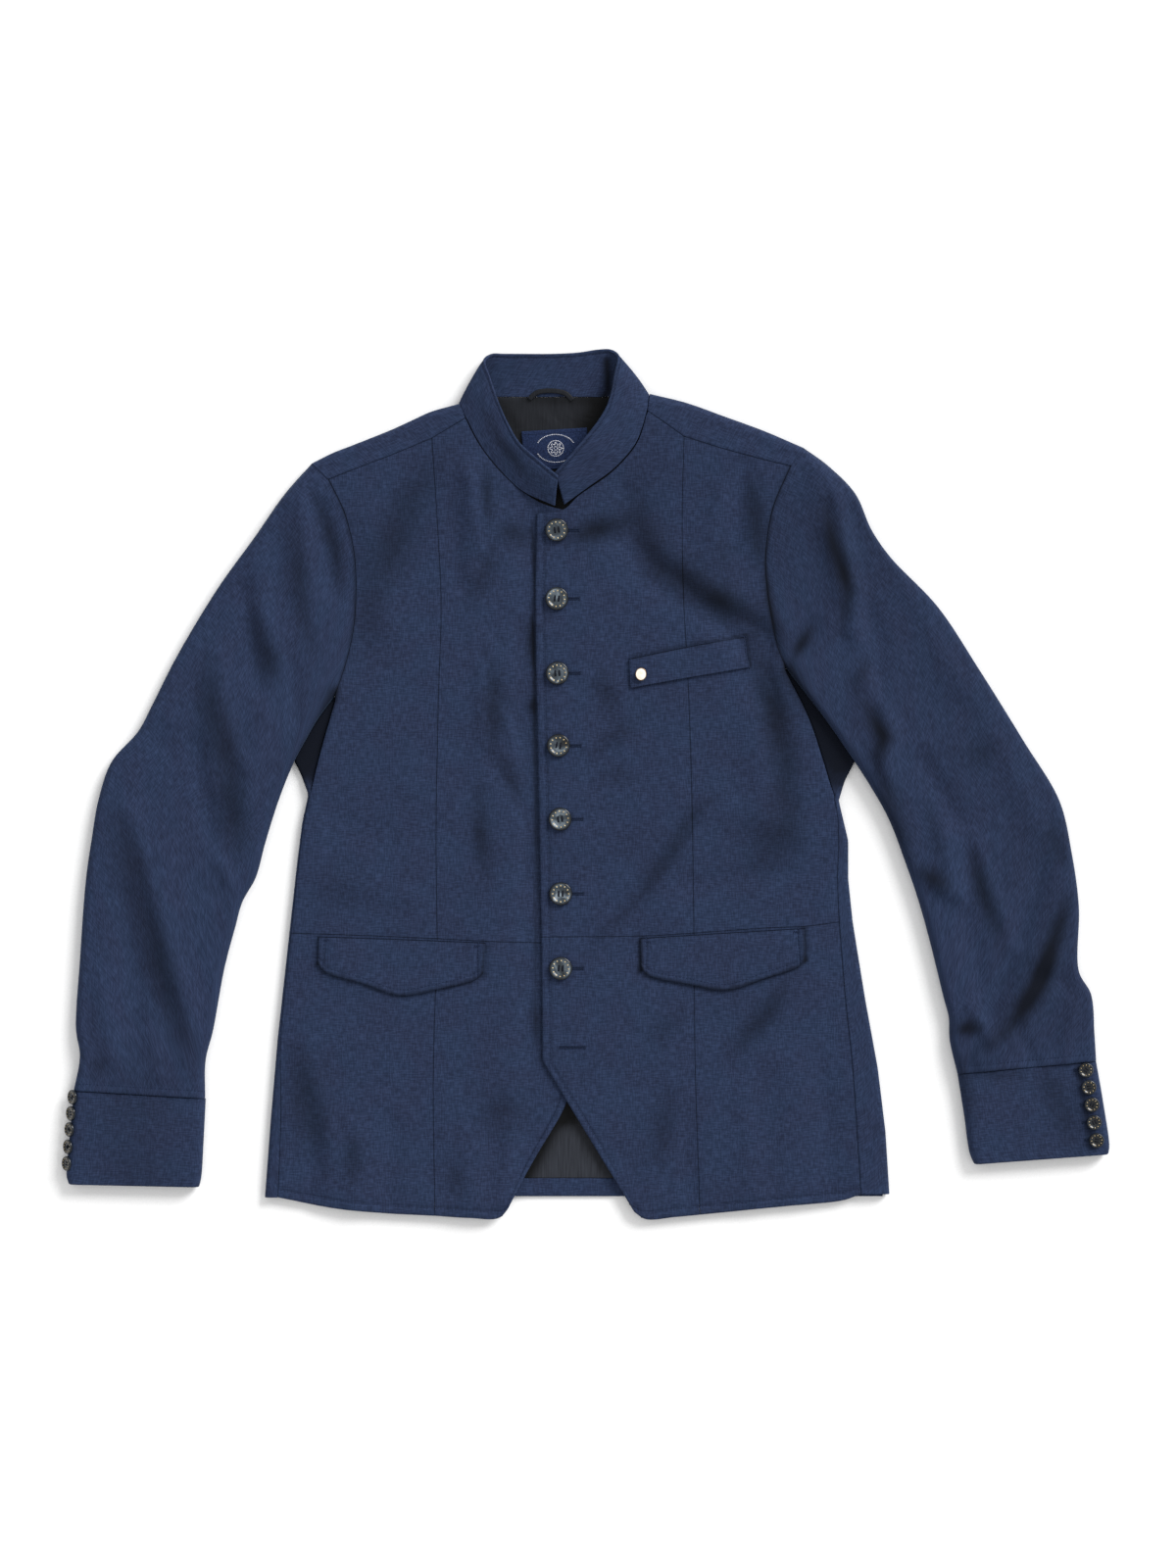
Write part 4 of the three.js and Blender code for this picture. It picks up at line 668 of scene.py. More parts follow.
@dataclass
class Cloth:
    """A piece of cloth as two matching grids of places, its outer and inner face."""

    outer: Grid
    inner: Grid
    uv: Grid
    closed: bool = False
    # Share of painted shade at each place: how far the colour is darkened towards a shaded colour
    painted_shade: Optional[Array] = None

    def flat_cut(self) -> tuple[tuple[float, float], float]:
        """Breadth and length of the cut and its area, in metres, along the middle of the cloth."""
        middle = (self.outer + self.inner) / 2
        if self.closed:
            middle = np.concatenate([middle, middle[:, :1]], axis=1)
        across = np.linalg.norm(np.diff(middle, axis=1), axis=-1).sum(axis=1)
        along = np.linalg.norm(np.diff(middle, axis=0), axis=-1).sum(axis=0)
        lean, rise = middle[1:, 1:] - middle[:-1, :-1], middle[1:, :-1] - middle[:-1, 1:]
        area = float(np.linalg.norm(np.cross(lean, rise), axis=-1).sum() / 2)
        width, length = float(across.max()), float(along.max())
        return (width * MM, length * MM), min(area, width * length) * MM * MM

    def faces(self) -> Array:
        """Corner numbers of the quads of both faces and of the rims between them."""
        rows, columns = self.outer.shape[:2]
        number = np.arange(2 * rows * columns).reshape(2, rows, columns)
        if self.closed:
            number = np.concatenate([number, number[:, :, :1]], axis=2)
        top, under = number

        def quads(first: Array, second: Array) -> Array:
            """Quads between two matching rows of corners."""
            pairs = (first[..., :-1], first[..., 1:], second[..., 1:], second[..., :-1])
            return np.stack(pairs, axis=-1).reshape(-1, 4)

        found = [quads(top[:-1], top[1:]), quads(under[:-1], under[1:])[:, ::-1]]
        found += [quads(under[0], top[0]), quads(top[-1], under[-1])]
        if not self.closed:
            found += [quads(top[:, 0], under[:, 0]), quads(under[:, -1], top[:, -1])]
        return np.concatenate(found)

    def mesh(self, name: str) -> Mesh:
        """The closed wall of this cloth, with its weave map and its painted shade."""
        corners = np.concatenate([self.outer.reshape(-1, 3), self.inner.reshape(-1, 3)]) * MM
        faces = self.faces()
        a, b, c, d = (corners[faces[:, side]] for side in range(4))
        volume = np.einsum("ij,ij->", a, np.cross(b, c)) + np.einsum("ij,ij->", a, np.cross(c, d))
        if volume < 0:
            faces = faces[:, ::-1]
        mesh = bpy.data.meshes.new(name)
        mesh.from_pydata(corners.tolist(), [], faces.tolist())
        weave = np.concatenate([self.uv.reshape(-1, 2)] * 2) * MM
        loops = np.empty(len(mesh.loops), np.int32)
        mesh.loops.foreach_get("vertex_index", loops)
        layer = mesh.uv_layers.new(name="weave")
        layer.data.foreach_set("uv", weave[loops].ravel().astype(np.float32))
        # The painted shade goes into the mesh as a point attribute that the materials read
        painted_shade = np.zeros(self.outer.shape[:2]) if self.painted_shade is None else self.painted_shade
        lie = mesh.attributes.new("painted_shade", "FLOAT", "POINT")
        lie.data.foreach_set("value", np.concatenate([painted_shade.ravel()] * 2).astype(np.float32))
        mesh.shade_smooth()
        return mesh


@dataclass(frozen=True)
class SewnLine:
    """A line on the outer face of a cloth, with the way out of the cloth at each place."""

    points: Array
    normals: Array


def line_beside(points: Grid, side: str, inset: float, trim: int = 0,
                measured: Optional[Grid] = None) -> SewnLine:
    """A line at a distance from one rim of a grid.

    Args:
        points: The outer face.
        side: The rim.
        inset: Distance of the line from the rim.
        trim: Places that are left out at each end.
        measured: Grid on which the distance is measured, if it isn't the outer face.

    Returns:
        The line, one place for each row or column.
    """
    normals, distance = grid_normals(points), distances(points if measured is None else measured)[side]
    if side in ("bottom", "top"):
        points, normals, distance = transposed(points), transposed(normals), transposed(distance)
    if distance[0, 0] > distance[0, -1]:
        points, normals, distance = points[:, ::-1], normals[:, ::-1], distance[:, ::-1]
    rows = range(trim, len(points) - trim)
    read = lambda values: np.array([
        [np.interp(inset, distance[row], values[row, :, axis]) for axis in range(3)] for row in rows])
    return SewnLine(read(points), read(normals))


def transposed(points: Array) -> Array:
    """The same grid with its rows as columns."""
    return np.swapaxes(points, 0, 1)


# Materials


def linear(hex_colour: str) -> tuple[float, float, float, float]:
    """Turns an sRGB hex value to linear red, green, blue and full alpha."""
    values = [int(hex_colour[start:start + 2], 16) / 255 for start in (1, 3, 5)]
    turned = [v / 12.92 if v <= 0.04045 else ((v + 0.055) / 1.055) ** 2.4 for v in values]
    return (*turned, 1.0)


def fill(tree: NodeTree, node: Node, inputs: dict) -> None:
    """Sets the sockets of a node.

    Args:
        tree: The tree that the node is in.
        node: The node.
        inputs: Values by a socket's name or number. A socket is linked, and a node by its first output.
    """
    for name, value in inputs.items():
        value = value.outputs[0] if isinstance(value, Node) else value
        if isinstance(value, NodeSocket):
            tree.links.new(value, node.inputs[name])
        else:
            node.inputs[name].default_value = value


def add_node(tree: NodeTree, kind: str, settings: Optional[dict] = None,
             inputs: Optional[dict] = None) -> Node:
    """Adds a node.

    Args:
        tree: The tree that it goes into.
        kind: Blender's name of the kind of node.
        settings: Properties of the node.
        inputs: What its sockets are filled with.

    Returns:
        The node.
    """
    node = tree.nodes.new(kind)
    for name, value in (settings or {}).items():
        setattr(node, name, value)
    fill(tree, node, inputs or {})
    return node


def add_ramp(tree: NodeTree, factor: Node, *stops: tuple[float, str]) -> Node:
    """Adds a colour ramp whose stops are places and hex colours."""
    node = add_node(tree, "ShaderNodeValToRGB", None, {"Fac": factor})
    elements = node.color_ramp.elements
    while len(elements) < len(stops):
        elements.new(1.0)
    for element, (place, colour) in zip(elements, stops):
        element.position = place
        element.color = linear(colour)
    return node


def add_noise(tree: NodeTree, place: object, scale: float, detail: float, flat: bool = False,
              **more: float) -> Node:
    """Adds a noise.

    Args:
        tree: The tree that it goes into.
        place: The node or socket that it is read at.
        scale: Its clouds in a metre.
        detail: Its detail.
        flat: Whether it is read in two dimensions.
        more: Values of other sockets.

    Returns:
        The node.
    """
    settings = {"noise_dimensions": "2D"} if flat else None
    inputs = {"Vector": place, "Scale": scale, "Detail": detail, **more}
    return add_node(tree, "ShaderNodeTexNoise", settings, inputs)


def add_threads(tree: NodeTree, across: float, along: float, detail: float, **more: float) -> Node:
    """Adds the noise of threads, from their spacing across and along the weave in millimetres."""
    weave = add_node(tree, "ShaderNodeUVMap", {"uv_map": "weave"})
    scale = (1 / (across * MM), 1 / (along * MM), 1.0)
    place = add_node(tree, "ShaderNodeMapping", None, {"Vector": weave, "Scale": scale})
    return add_noise(tree, place, 1.0, detail, flat=True, **more)


def add_mix(tree: NodeTree, factor: object, first: object, second: object) -> NodeSocket:
    """Mixes two colours."""
    colours = {"Factor": factor, 6: first, 7: second}
    return add_node(tree, "ShaderNodeMix", {"data_type": "RGBA"}, colours).outputs[2]


def add_painted_shade(tree: NodeTree, colour: object, shaded: str) -> NodeSocket:
    """Darkens a colour towards a shaded colour by the painted shade that the mesh carries."""
    lie = add_node(tree, "ShaderNodeAttribute", {"attribute_name": "painted_shade"})
    return add_mix(tree, lie.outputs["Fac"], colour, linear(shaded))


def add_bump(tree: NodeTree, height: Node, strength: float, relief: float) -> Node:
    """Adds a bump whose relief is in millimetres."""
    inputs = {"Height": height, "Strength": strength, "Distance": relief * MM}
    return add_node(tree, "ShaderNodeBump", None, inputs)


def new_material(name: str) -> tuple[Material, NodeTree, Node]:
    """An empty material with its tree and its principled shader."""
    material = bpy.data.materials.new(name)
    material.use_nodes = True
    tree = material.node_tree
    return material, tree, tree.nodes["Principled BSDF"]


@dataclass(frozen=True)
class WovenWool:
    """Melange wool in plain weave: threads of several blues, uneven along their length, with a soft raised
    pile.

    It gives the eye a matt navy, flecked along both thread directions and cloudy over the width of a hand,
    and darkened by painted shade where the mesh carries it.
    """

    name: str = "navy_melange_wool"
    dark: str = "#1b2337"
    middle: str = "#242e46"
    light: str = "#2f3b57"
    # Colour towards which painted shade darkens the wool
    shaded: str = "#0b0f19"
    cool: str = "#24334c"
    warm: str = "#24293f"
    # The thread spacing is 0.6 mm on the cloth; it is drawn at 1.2 mm, so that it shows at a step's distance.
    thread: float = 1.2
    slub: float = 8.0
    cloud: float = 34.0
    relief: float = 0.35

    def build(self) -> Material:
        """Makes the material."""
        material, tree, shader = new_material(self.name)
        warp, weft = (add_threads(tree, *spacing, 2.0, Roughness=0.6)
                      for spacing in ((self.thread, self.slub), (self.slub, self.thread)))
        both = add_node(tree, "ShaderNodeMath", {"operation": "ADD"}, {0: warp, 1: weft})
        half = add_node(tree, "ShaderNodeMath", {"operation": "MULTIPLY"}, {0: both, 1: 0.5})
        flecks = add_ramp(tree, half, (0.37, self.dark), (0.5, self.middle), (0.64, self.light))
        weave = add_node(tree, "ShaderNodeUVMap", {"uv_map": "weave"})
        cloud = add_noise(tree, weave, 1 / (self.cloud * MM), 3.0, flat=True, Roughness=0.55)
        tints = add_ramp(tree, cloud, (0.36, self.warm), (0.5, self.middle), (0.64, self.cool))
        fill(tree, shader, {
            "Base Color": add_painted_shade(tree, add_mix(tree, 0.26, flecks, tints), self.shaded),
            "Normal": add_bump(tree, half, 0.5, self.relief), "Roughness": 0.88, "IOR": 1.5,
            "Specular IOR Level": 0.1, "Sheen Weight": 0.08, "Sheen Roughness": 0.45,
            "Sheen Tint": linear("#7d9bc8"),
        })
        return material


@dataclass(frozen=True)
class SatinLining:
    """Viscose satin lining: smooth, close threads, to the eye a charcoal with a faint lengthwise gleam."""

    name: str = "charcoal_satin_lining"
    dark: str = "#24262c"
    light: str = "#30333a"
    # Colour of the painted shade in its creases, at the neck and along the front edges
    painted_shade_colour: str = "#050608"
    # The threads are 0.15 mm apart on the cloth; they are drawn 1.1 mm apart, so that they show.
    thread: float = 1.1
    run: float = 24.0

    def build(self) -> Material:
        """Makes the material."""
        material, tree, shader = new_material(self.name)
        threads = add_threads(tree, self.thread, self.run, 3.0)
        colour = add_ramp(tree, threads, (0.3, self.dark), (0.72, self.light))
        fill(tree, shader, {
            "Base Color": add_painted_shade(tree, colour, self.painted_shade_colour), "Normal": add_bump(tree, threads, 0.25, 0.1),
            "Roughness": 0.5, "Specular IOR Level": 0.1, "Sheen Weight": 0.02,
        })
        return material


@dataclass(frozen=True)
class Clouded:
    """A finish whose colour is clouded through its depth, such as horn, enamel, paper or thread."""

    name: str
    stops: tuple[tuple[float, str], ...]
    scale: float
    detail: float
    gloss: dict[str, float]
    distortion: float = 0.0

    def build(self) -> Material:
        """Makes the material."""
        material, tree, shader = new_material(self.name)
        place = add_node(tree, "ShaderNodeTexCoord").outputs["Object"]
        cloud = add_noise(tree, place, self.scale, self.detail, Distortion=self.distortion)
        fill(tree, shader, {"Base Color": add_ramp(tree, cloud, *self.stops), **self.gloss})
        return material


def horn_finish(name: str, dark: str, middle: str, light: str) -> Clouded:
    """Polished dark horn: grey-brown, clouded and streaked every 12 mm, with a gloss that shows the lamps."""
    gloss = {"Roughness": 0.24, "Specular IOR Level": 0.25, "Coat Weight": 0.35, "Coat Roughness": 0.14}
    return Clouded(name, ((0.32, dark), (0.52, middle), (0.75, light)), 1 / (12.0 * MM), 4.0, gloss, 1.2)


def fibre_finish(name: str, dark: str, light: str, turn: float = 0.5) -> Clouded:
    """Sewing thread: twisted polyester whose turns, in millimetres, show as light and dark along it."""
    gloss = {"Roughness": 0.6, "Specular IOR Level": 0.1}
    return Clouded(name, ((0.35, dark), (0.65, light)), 1 / (turn * MM), 1.0, gloss)


# Fired enamel: an opaque glass, nearly even, with a high gloss and faint clouds
ENAMEL = Clouded("ivory_enamel", ((0.3, "#e4dccb"), (0.6, "#f7f2e6")), 300.0, 2.0,
                 {"Roughness": 0.15, "Coat Weight": 0.5})
# Matt white paper, with a grain of a millimetre or two
PAPER = Clouded("matt_white_paper", ((0.3, "#f4f4f4"), (0.7, "#fafafa")), 700.0, 2.0,
                {"Roughness": 0.95, "Specular IOR Level": 0.1})


@dataclass(frozen=True)
class Brass:
    """Plated brass, polished and a little worn: a warm metal with softly uneven gloss."""

    name: str = "plated_brass"
    colour: str = "#8a6a4a"

    def build(self) -> Material:
        """Makes the material."""
        material, tree, shader = new_material(self.name)
        wear = add_noise(tree, add_node(tree, "ShaderNodeTexCoord").outputs["Object"], 900.0, 3.0)
        gloss = add_node(tree, "ShaderNodeMapRange", None, {"Value": wear, 3: 0.25, 4: 0.45})
        fill(tree, shader, {"Roughness": gloss, "Base Color": linear(self.colour), "Metallic": 1.0})
        return material


def made(finish: object) -> Material:
    """A field for the material of a finish, which is built with the scene."""
    return field(default_factory=finish.build)


@dataclass
class Finishes:
    """Every finish of the blazer, made once."""

    wool: Material = made(WovenWool())
    lining: Material = made(SatinLining())
    horn: Material = made(horn_finish("polished_dark_horn", "#12161a", "#39434b", "#86929b"))
    horn_rim: Material = made(horn_finish("dark_horn_rim", "#0a0c0f", "#12161a", "#252b31"))
    seam_thread: Material = made(fibre_finish("navy_sewing_thread", "#121a2e", "#26324f"))
    hole_thread: Material = made(fibre_finish("navy_buttonhole_thread", "#121a2c", "#202b44"))
    dark_thread: Material = made(fibre_finish("dark_buttonhole_thread", "#080a10", "#151a28"))
    pale_thread: Material = made(fibre_finish("pale_woven_thread", "#b8bcc8", "#e8e8ec"))
    tick_paint: Material = made(fibre_finish("cream_inlay", "#b3996a", "#ead7ab", turn=1.5))
    label: Material = made(WovenWool(name="navy_woven_label", dark="#141c34", middle="#1d2844",
                                     light="#2b385a", cool="#1e2c4a", warm="#1b223c", thread=0.8,
                                     slub=2.4, relief=0.15))
    enamel: Material = made(ENAMEL)
    brass: Material = made(Brass())


class Slot(Enum):
    """Material slots of the record."""

    WOOL = "navy_wool"
    LINING = "lining"
    HORN = "horn_button"
    LABEL = "label_cloth"
    ENAMEL = "enamel"


# Pieces


def add_object(name: str, mesh: Mesh, *materials: Material) -> Object:
    """Puts a mesh into the scene as an object at the origin, with its materials."""
    obj = bpy.data.objects.new(name, mesh)
    for material in materials:
        mesh.materials.append(material)
    bpy.context.scene.collection.objects.link(obj)
    return obj


def evaluated(obj: Object) -> Mesh:
    """The mesh of an object with its modifier applied. The object and its modifier are deleted."""
    bpy.context.view_layer.update()
    ready = obj.evaluated_get(bpy.context.evaluated_depsgraph_get())
    mesh = bpy.data.meshes.new_from_object(ready)
    obj.modifiers.clear()
    bpy.data.objects.remove(obj)
    return mesh


def as_mesh(shape: bmesh.types.BMesh, name: str) -> Mesh:
    """Turns a shape into a mesh and frees it."""
    mesh = bpy.data.meshes.new(name)
    shape.to_mesh(mesh)
    shape.free()
    return mesh


def turned_mesh(name: str, profile: Sequence[tuple[float, float]], segments: int, second: int = 0,
                centre: Sequence[float] = (0.0, 0.0, 0.0), stretch: float = 1.0) -> Mesh:
    """Turns a profile round an upright axis.

    Args:
        name: Name of the mesh.
        profile: Radius and level of each ring, in millimetres. It starts and ends on the axis.
        segments: Corners of each ring.
        second: Rings up to this number have the second material.
        centre: Place of the axis and of level 0, in metres.
        stretch: Length of a ring over its breadth.

    Returns:
        The mesh.
    """
    shape = bmesh.new()
    rings = []
    for radius, level in profile:
        angles = [2 * math.pi * step / segments for step in range(segments if radius else 1)]
        rings.append([shape.verts.new((centre[0] + radius * math.cos(angle) * MM,
                                       centre[1] + radius * stretch * math.sin(angle) * MM,
                                       centre[2] + level * MM)) for angle in angles])
    for number, (low, high) in enumerate(zip(rings[:-1], rings[1:]), start=1):
        for step in range(segments):
            after = (step + 1) % segments
            corners = [low[step], low[after], high[after], high[step]] if len(low) == len(high) else (
                [low[0], high[after], high[step]] if len(low) == 1 else [low[step], low[after], high[0]])
            shape.faces.new(corners).material_index = int(number < second)
    bmesh.ops.recalc_face_normals(shape, faces=shape.faces)
    return as_mesh(shape, name)


def settle(obj: Object, slot: Slot, *nodes: str) -> Object:
    """Fixes a piece to the garment, in place of the nodes it stands for."""
    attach(obj, "root")
    if nodes:
        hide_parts(*nodes)
    LOG.info("piece %s: %d faces", obj.name, len(obj.data.polygons))
    return obj


def lay_cloth(name: str, cloth: Cloth, material: Material, slot: Slot, node: str) -> Object:
    """Makes a piece of cloth and works out its cut.

    Args:
        name: Name of the piece.
        cloth: Its two faces.
        material: Its finish.
        slot: Its slot in the record; not used.
        node: The solid that it stands for.

    Returns:
        The object.
    """
    obj = add_object(name, cloth.mesh(name), material)
    settle(obj, slot, node)
    flat, area = cloth.flat_cut()
    area = min(max(area, 0.301 * flat[0] * flat[1]), flat[0] * flat[1])
    return obj


def sunk(base: Grid, thickness: float, sink: Array, lift: float = 0.0) -> tuple[Grid, Grid]:
    """Outer and inner face of a cloth whose unshaped outer face is base, with its rims rolled down."""
    normals = grid_normals(base)
    outer = base + normals * (lift - sink)[..., None]
    inner = base + normals * (lift - thickness)
    return outer, inner


def cloth_over(plan: Grid, height: Height, thickness: float, rims: dict[str, Rim],
               lift: float = 0.0) -> Cloth:
    """A cloth that lies over a grid of places on the plan.

    Args:
        plan: Places on the plan.
        height: Height of the outer face.
        thickness: Thickness of the cloth.
        rims: Finish of each of the four rims.
        lift: How far the cloth lies above that height.

    Returns:
        The cloth.
    """
    base = np.dstack([plan, height(plan[..., 0], plan[..., 1])])
    away = distances(base)
    sink = np.zeros(plan.shape[:2])
    for side, rim in rims.items():
        sink = sink + rim.sink(away[side])
    pucker = sum(bell(away[side], 5.0) for side, rim in rims.items() if rim is Rim.SEAM)
    sink = sink + 0.06 * pucker * (1 + PUCKERS.at(plan[..., 0] * 1.5, plan[..., 1]))
    outer, inner = sunk(base, thickness, np.minimum(sink, thickness - 0.2), lift)
    # Painted shade along the seams and sewn lines, added to the painted shade of the folds
    painted_seam_shade = sum(rim.shade(away[side]) for side, rim in rims.items())
    return Cloth(outer, inner, plan, painted_shade=np.clip(painted_shade_at(plan[..., 0], plan[..., 1]) + painted_seam_shade, 0, 1))


PUCKERS = Unevenness(seed=13, cell=9.0)


@dataclass
class Half:
    """One half of the front: its edges, its side fold and its place in the lap."""

    side: str
    edges: dict[str, Table]
    wrap: Table
    inward: int
    height: Height
    collar_reach: float = 2.0
    step: float = 3.4
    pieces: list[Object] = field(default_factory=list)
    topstitching: list[SewnLine] = field(default_factory=list)

    def __post_init__(self) -> None:
        """Moves the sides from the folds to the side seams."""
        seam = [(x + self.inward * strip, y) for x, y, strip, _ in self.wrap]
        self.edges = dict(self.edges)
        waist_level = self.edges["waist"][0][1]
        self.edges["side"] = [place for place in seam if place[1] >= waist_level]
        self.edges["side_lower"] = [place for place in seam if place[1] <= waist_level]
        self.edges["waist"] = [self.edges["side_lower"][0], *self.edges["waist"][1:]]
        self.edges["hem"] = [self.edges["side_lower"][-1], *self.edges["hem"][1:]]

    def edge(self, names: list[str]) -> Edge:
        """Joins named edges."""
        return Edge(*(self.edges[name] for name in names))

    def panel(self, part: str, bottom: list[str], top: list[str], left: list[str], right: list[str],
              rims: dict[str, Rim], finishes: Finishes) -> Cloth:
        """Makes one panel between its edges.

        Args:
            part: Its name within the half.
            bottom: Names of the edges below.
            top: Names of the edges above.
            left: Names of the edges on the side of the fold, from below.
            right: Names of the edges on the side of the middle, from below.
            rims: Finish of each rim.
            finishes: The finishes of the blazer.

        Returns:
            The cloth of the panel.
        """
        low, high = self.edge(bottom), self.edge(top)
        near, far = self.edge(left[::-1]).turned(), self.edge(right[::-1]).turned()
        across = spread((low.length + high.length) / 2, self.step, rims["left"].marks, rims["right"].marks)
        along = spread((near.length + far.length) / 2, self.step, rims["bottom"].marks, rims["top"].marks)
        plan = drawn_in(coons(low, high, near, far, across, along))
        cloth = cloth_over(plan, self.height, CLOTH, rims)
        name = f"front_{self.side}_{part}"
        self.pieces.append(lay_cloth(f"{name}_wool", cloth, finishes.wool, Slot.WOOL, name))
        return cloth

    def build(self, finishes: Finishes) -> None:
        """Makes the four panels and marks the topstitching of the front edge and hem."""
        turned = Rim.TURNED
        self.panel("side", ["waist"], ["shoulder_seam"], ["side", "armhole"], ["princess"], SEAMS, finishes)
        upper = self.panel("centre", ["waist_centre"], ["neck_shoulder_seam", "neckline"], ["princess"],
                           ["front_edge"], {**SEAMS, "right": turned}, finishes)
        side = self.panel("side_skirt", ["hem"], ["waist"], ["side_lower"], ["princess_lower"],
                          {**SEAMS, "bottom": turned}, finishes)
        lower = self.panel("centre_skirt", ["hem_centre"], ["waist_centre"], ["princess_lower"],
                           ["front_edge_cut", "front_edge_lower"],
                           {**SEAMS, "bottom": turned, "right": turned}, finishes)
        self.topstitching += [line_beside(cloth.outer, "right", TOPSTITCH) for cloth in (upper, lower)]
        self.topstitching += [line_beside(cloth.outer, "bottom", TOPSTITCH) for cloth in (side, lower)]


def drawn_in(plan: Grid, distance: float = SEAM / 4) -> Grid:
    """Draws the rim of a grid in by half the gap of a pressed seam."""
    copy = plan.copy()

    def shift(rim: Array, inner: Array) -> Array:
        """A step from the rim towards the next places."""
        return distance * unit(inner - rim)

    deep = min(3, plan.shape[1] - 1, plan.shape[0] - 1)
    copy[:, 0] += shift(plan[:, 0], plan[:, deep])
    copy[:, -1] += shift(plan[:, -1], plan[:, -1 - deep])
    copy[0] += shift(plan[0], plan[deep])
    copy[-1] += shift(plan[-1], plan[-1 - deep])
    return copy


@dataclass
class Back:
    """The back: flat on the floor, wrapped round both side folds and over the shoulders to the seams."""

    halves: Sequence[Half]
    step: float = 6.0
    wrap_turns: int = 12

    def outline(self, inset: float) -> tuple[Table, Table]:
        """Right and left edge of a flat layer, from the hem up to the neck.

        Args:
            inset: Its distance from the side folds.

        Returns:
            Places of the right edge and of the left edge.
        """
        found = []
        shoulder_inset = inset + SHOULDER_HEIGHT / 2 - BODY_HEIGHT / 2
        armhole_inset = inset - BODY_HEIGHT / 2 - 1.5 + SEAM
        for edges, wrap, inward, neck in ((RIGHT, RIGHT_WRAP, 1, -100), (LEFT, LEFT_WRAP, -1, 40)):
            side = [(x + inward * inset, y) for x, y, _, _ in wrap][::-1]
            armhole = Edge(edges["back_armhole"]).at(np.linspace(1, 0, 12)[1:-1])
            rising = [(x + inward * armhole_inset, y) for x, y in armhole]
            shoulder = [(x, y - shoulder_inset) for x, y in edges["shoulder_fold"][1:]]
            found.append([*side, *rising, *shoulder, (neck, NECK_EDGE)])
        return found[0], found[1]

    def layer(self, inset: float, floor: float, thickness: float, low: float, high: float, step: float,
              relief: Optional[Height] = None) -> Cloth:
        """A flat layer between its two edges.

        Args:
            inset: Its distance from the side folds.
            floor: Height of its underside.
            thickness: Thickness of its cloth.
            low: Its lower end.
            high: Its upper end.
            step: Distance between places.
            relief: What its upper face rises by.

        Returns:
            The cloth.
        """
        right, left = self.outline(inset)
        rows = low + (high - low) * spread(high - low, step, (0.3, 1.0), (0.3, 1.0))
        start, end = read_table(right, rows, 1, 0), read_table(left, rows, 1, 0)
        columns = spread(500.0, step)
        x = start[:, None] + (end - start)[:, None] * columns[None]
        plan = np.dstack([x, np.repeat(rows[:, None], len(columns), axis=1)])
        rise = np.zeros(x.shape) if relief is None else relief(plan[..., 0], plan[..., 1])
        edge = np.minimum(plan[..., 1] - low, high - plan[..., 1])
        roll = 0.4 * thickness * rounded(edge, 1.0)
        outer = np.dstack([plan, floor + thickness + rise - roll])
        inner = np.dstack([plan, np.full(x.shape, floor)])
        return Cloth(outer, inner, plan)

    def wrap_section(self, fold: Array, inward: Array, radius: Array, strip: Array,
                     height: Height, thickness: float, end: float) -> Cloth:
        """Cloth that comes from the floor round a fold and lies over the top up to the seam.

        Args:
            fold: Places of the fold, one for each section.
            inward: The way from the fold to the seam, one for each section.
            radius: Half the height of the fold at each section.
            strip: Breadth of cloth that lies on top at each section.
            height: Height of the cloth on top.
            thickness: Thickness of the cloth.
            end: How far the cloth reaches inward along the floor.

        Returns:
            The cloth.
        """
        outer, inner = [], []
        far = strip - SEAM
        top_angle = np.where(far >= radius, math.pi / 2, np.arccos(np.clip(1 - far / radius, -1, 1)))
        zero, one = np.zeros(radius.shape), np.ones(radius.shape)
        places = [(end * one, zero, zero, -one)]
        for share in np.linspace(0, 1, self.wrap_turns + 1):
            angle = -math.pi / 2 + (top_angle + math.pi / 2) * share
            cosine, sine = np.cos(angle), np.sin(angle)
            places.append((radius * (1 - cosine), radius * (1 + sine), cosine, sine))
        for share in (0.15, 0.35, 0.6, 0.8, 0.9, 0.96, 1.0):
            ahead = np.maximum(radius + (far - radius) * share, np.minimum(far, radius) + 0.02 * share)
            on_top = fold[:, :2] + inward * ahead[:, None]
            level = np.where(far > radius, height(on_top[:, 0], on_top[:, 1]), places[-1][1])
            sink = Rim.SEAM.sink(np.maximum(far - ahead, 0.0))
            places.append((ahead, level - sink * (far > radius), zero, one))
        for ahead, level, out, up in places:
            foot = np.column_stack([fold[:, :2] + inward * ahead[:, None], level])
            lean = np.column_stack([inward * (out * thickness)[:, None], -up * thickness])
            outer.append(foot)
            inner.append(foot + lean)
        outer_grid, inner_grid = transposed(np.array(outer)), transposed(np.array(inner))
        away = distances(outer_grid)
        weave = np.dstack([away["left"], away["bottom"]])
        return Cloth(outer_grid, inner_grid, weave, painted_shade=painted_shade_at(outer_grid[..., 0], outer_grid[..., 1]))

    def side_wrap(self, half: Half) -> Cloth:
        """The cloth round one side fold."""
        seam = Edge(half.edges["side"], half.edges["side_lower"])
        on_seam = seam.at(spread(seam.length, 4.0, (0.5,), (0.5, 1.5)))
        y = on_seam[:, 1]
        fold_x = read_table(half.wrap, y, 1, 0)
        loftiness = read_table(half.wrap, y, 1, 3)
        strip = half.inward * (on_seam[:, 0] - fold_x)
        level = lambda x, place: np.where(loftiness < BODY_HEIGHT, loftiness, body_height(x, place))
        inward = np.column_stack([np.full(y.shape, float(half.inward)), np.zeros(y.shape)])
        fold = np.column_stack([fold_x, y])
        cloth = self.wrap_section(fold, inward, loftiness / 2, strip, level, CLOTH, WRAP_END)
        # Painted shade on the low cloth of the underarm webs
        in_shade = 0.85 * (1 - smoothstep(loftiness, WEB_HEIGHT, BODY_HEIGHT))
        cloth.painted_shade = np.clip(cloth.painted_shade + in_shade[:, None], 0, 1)
        return cloth

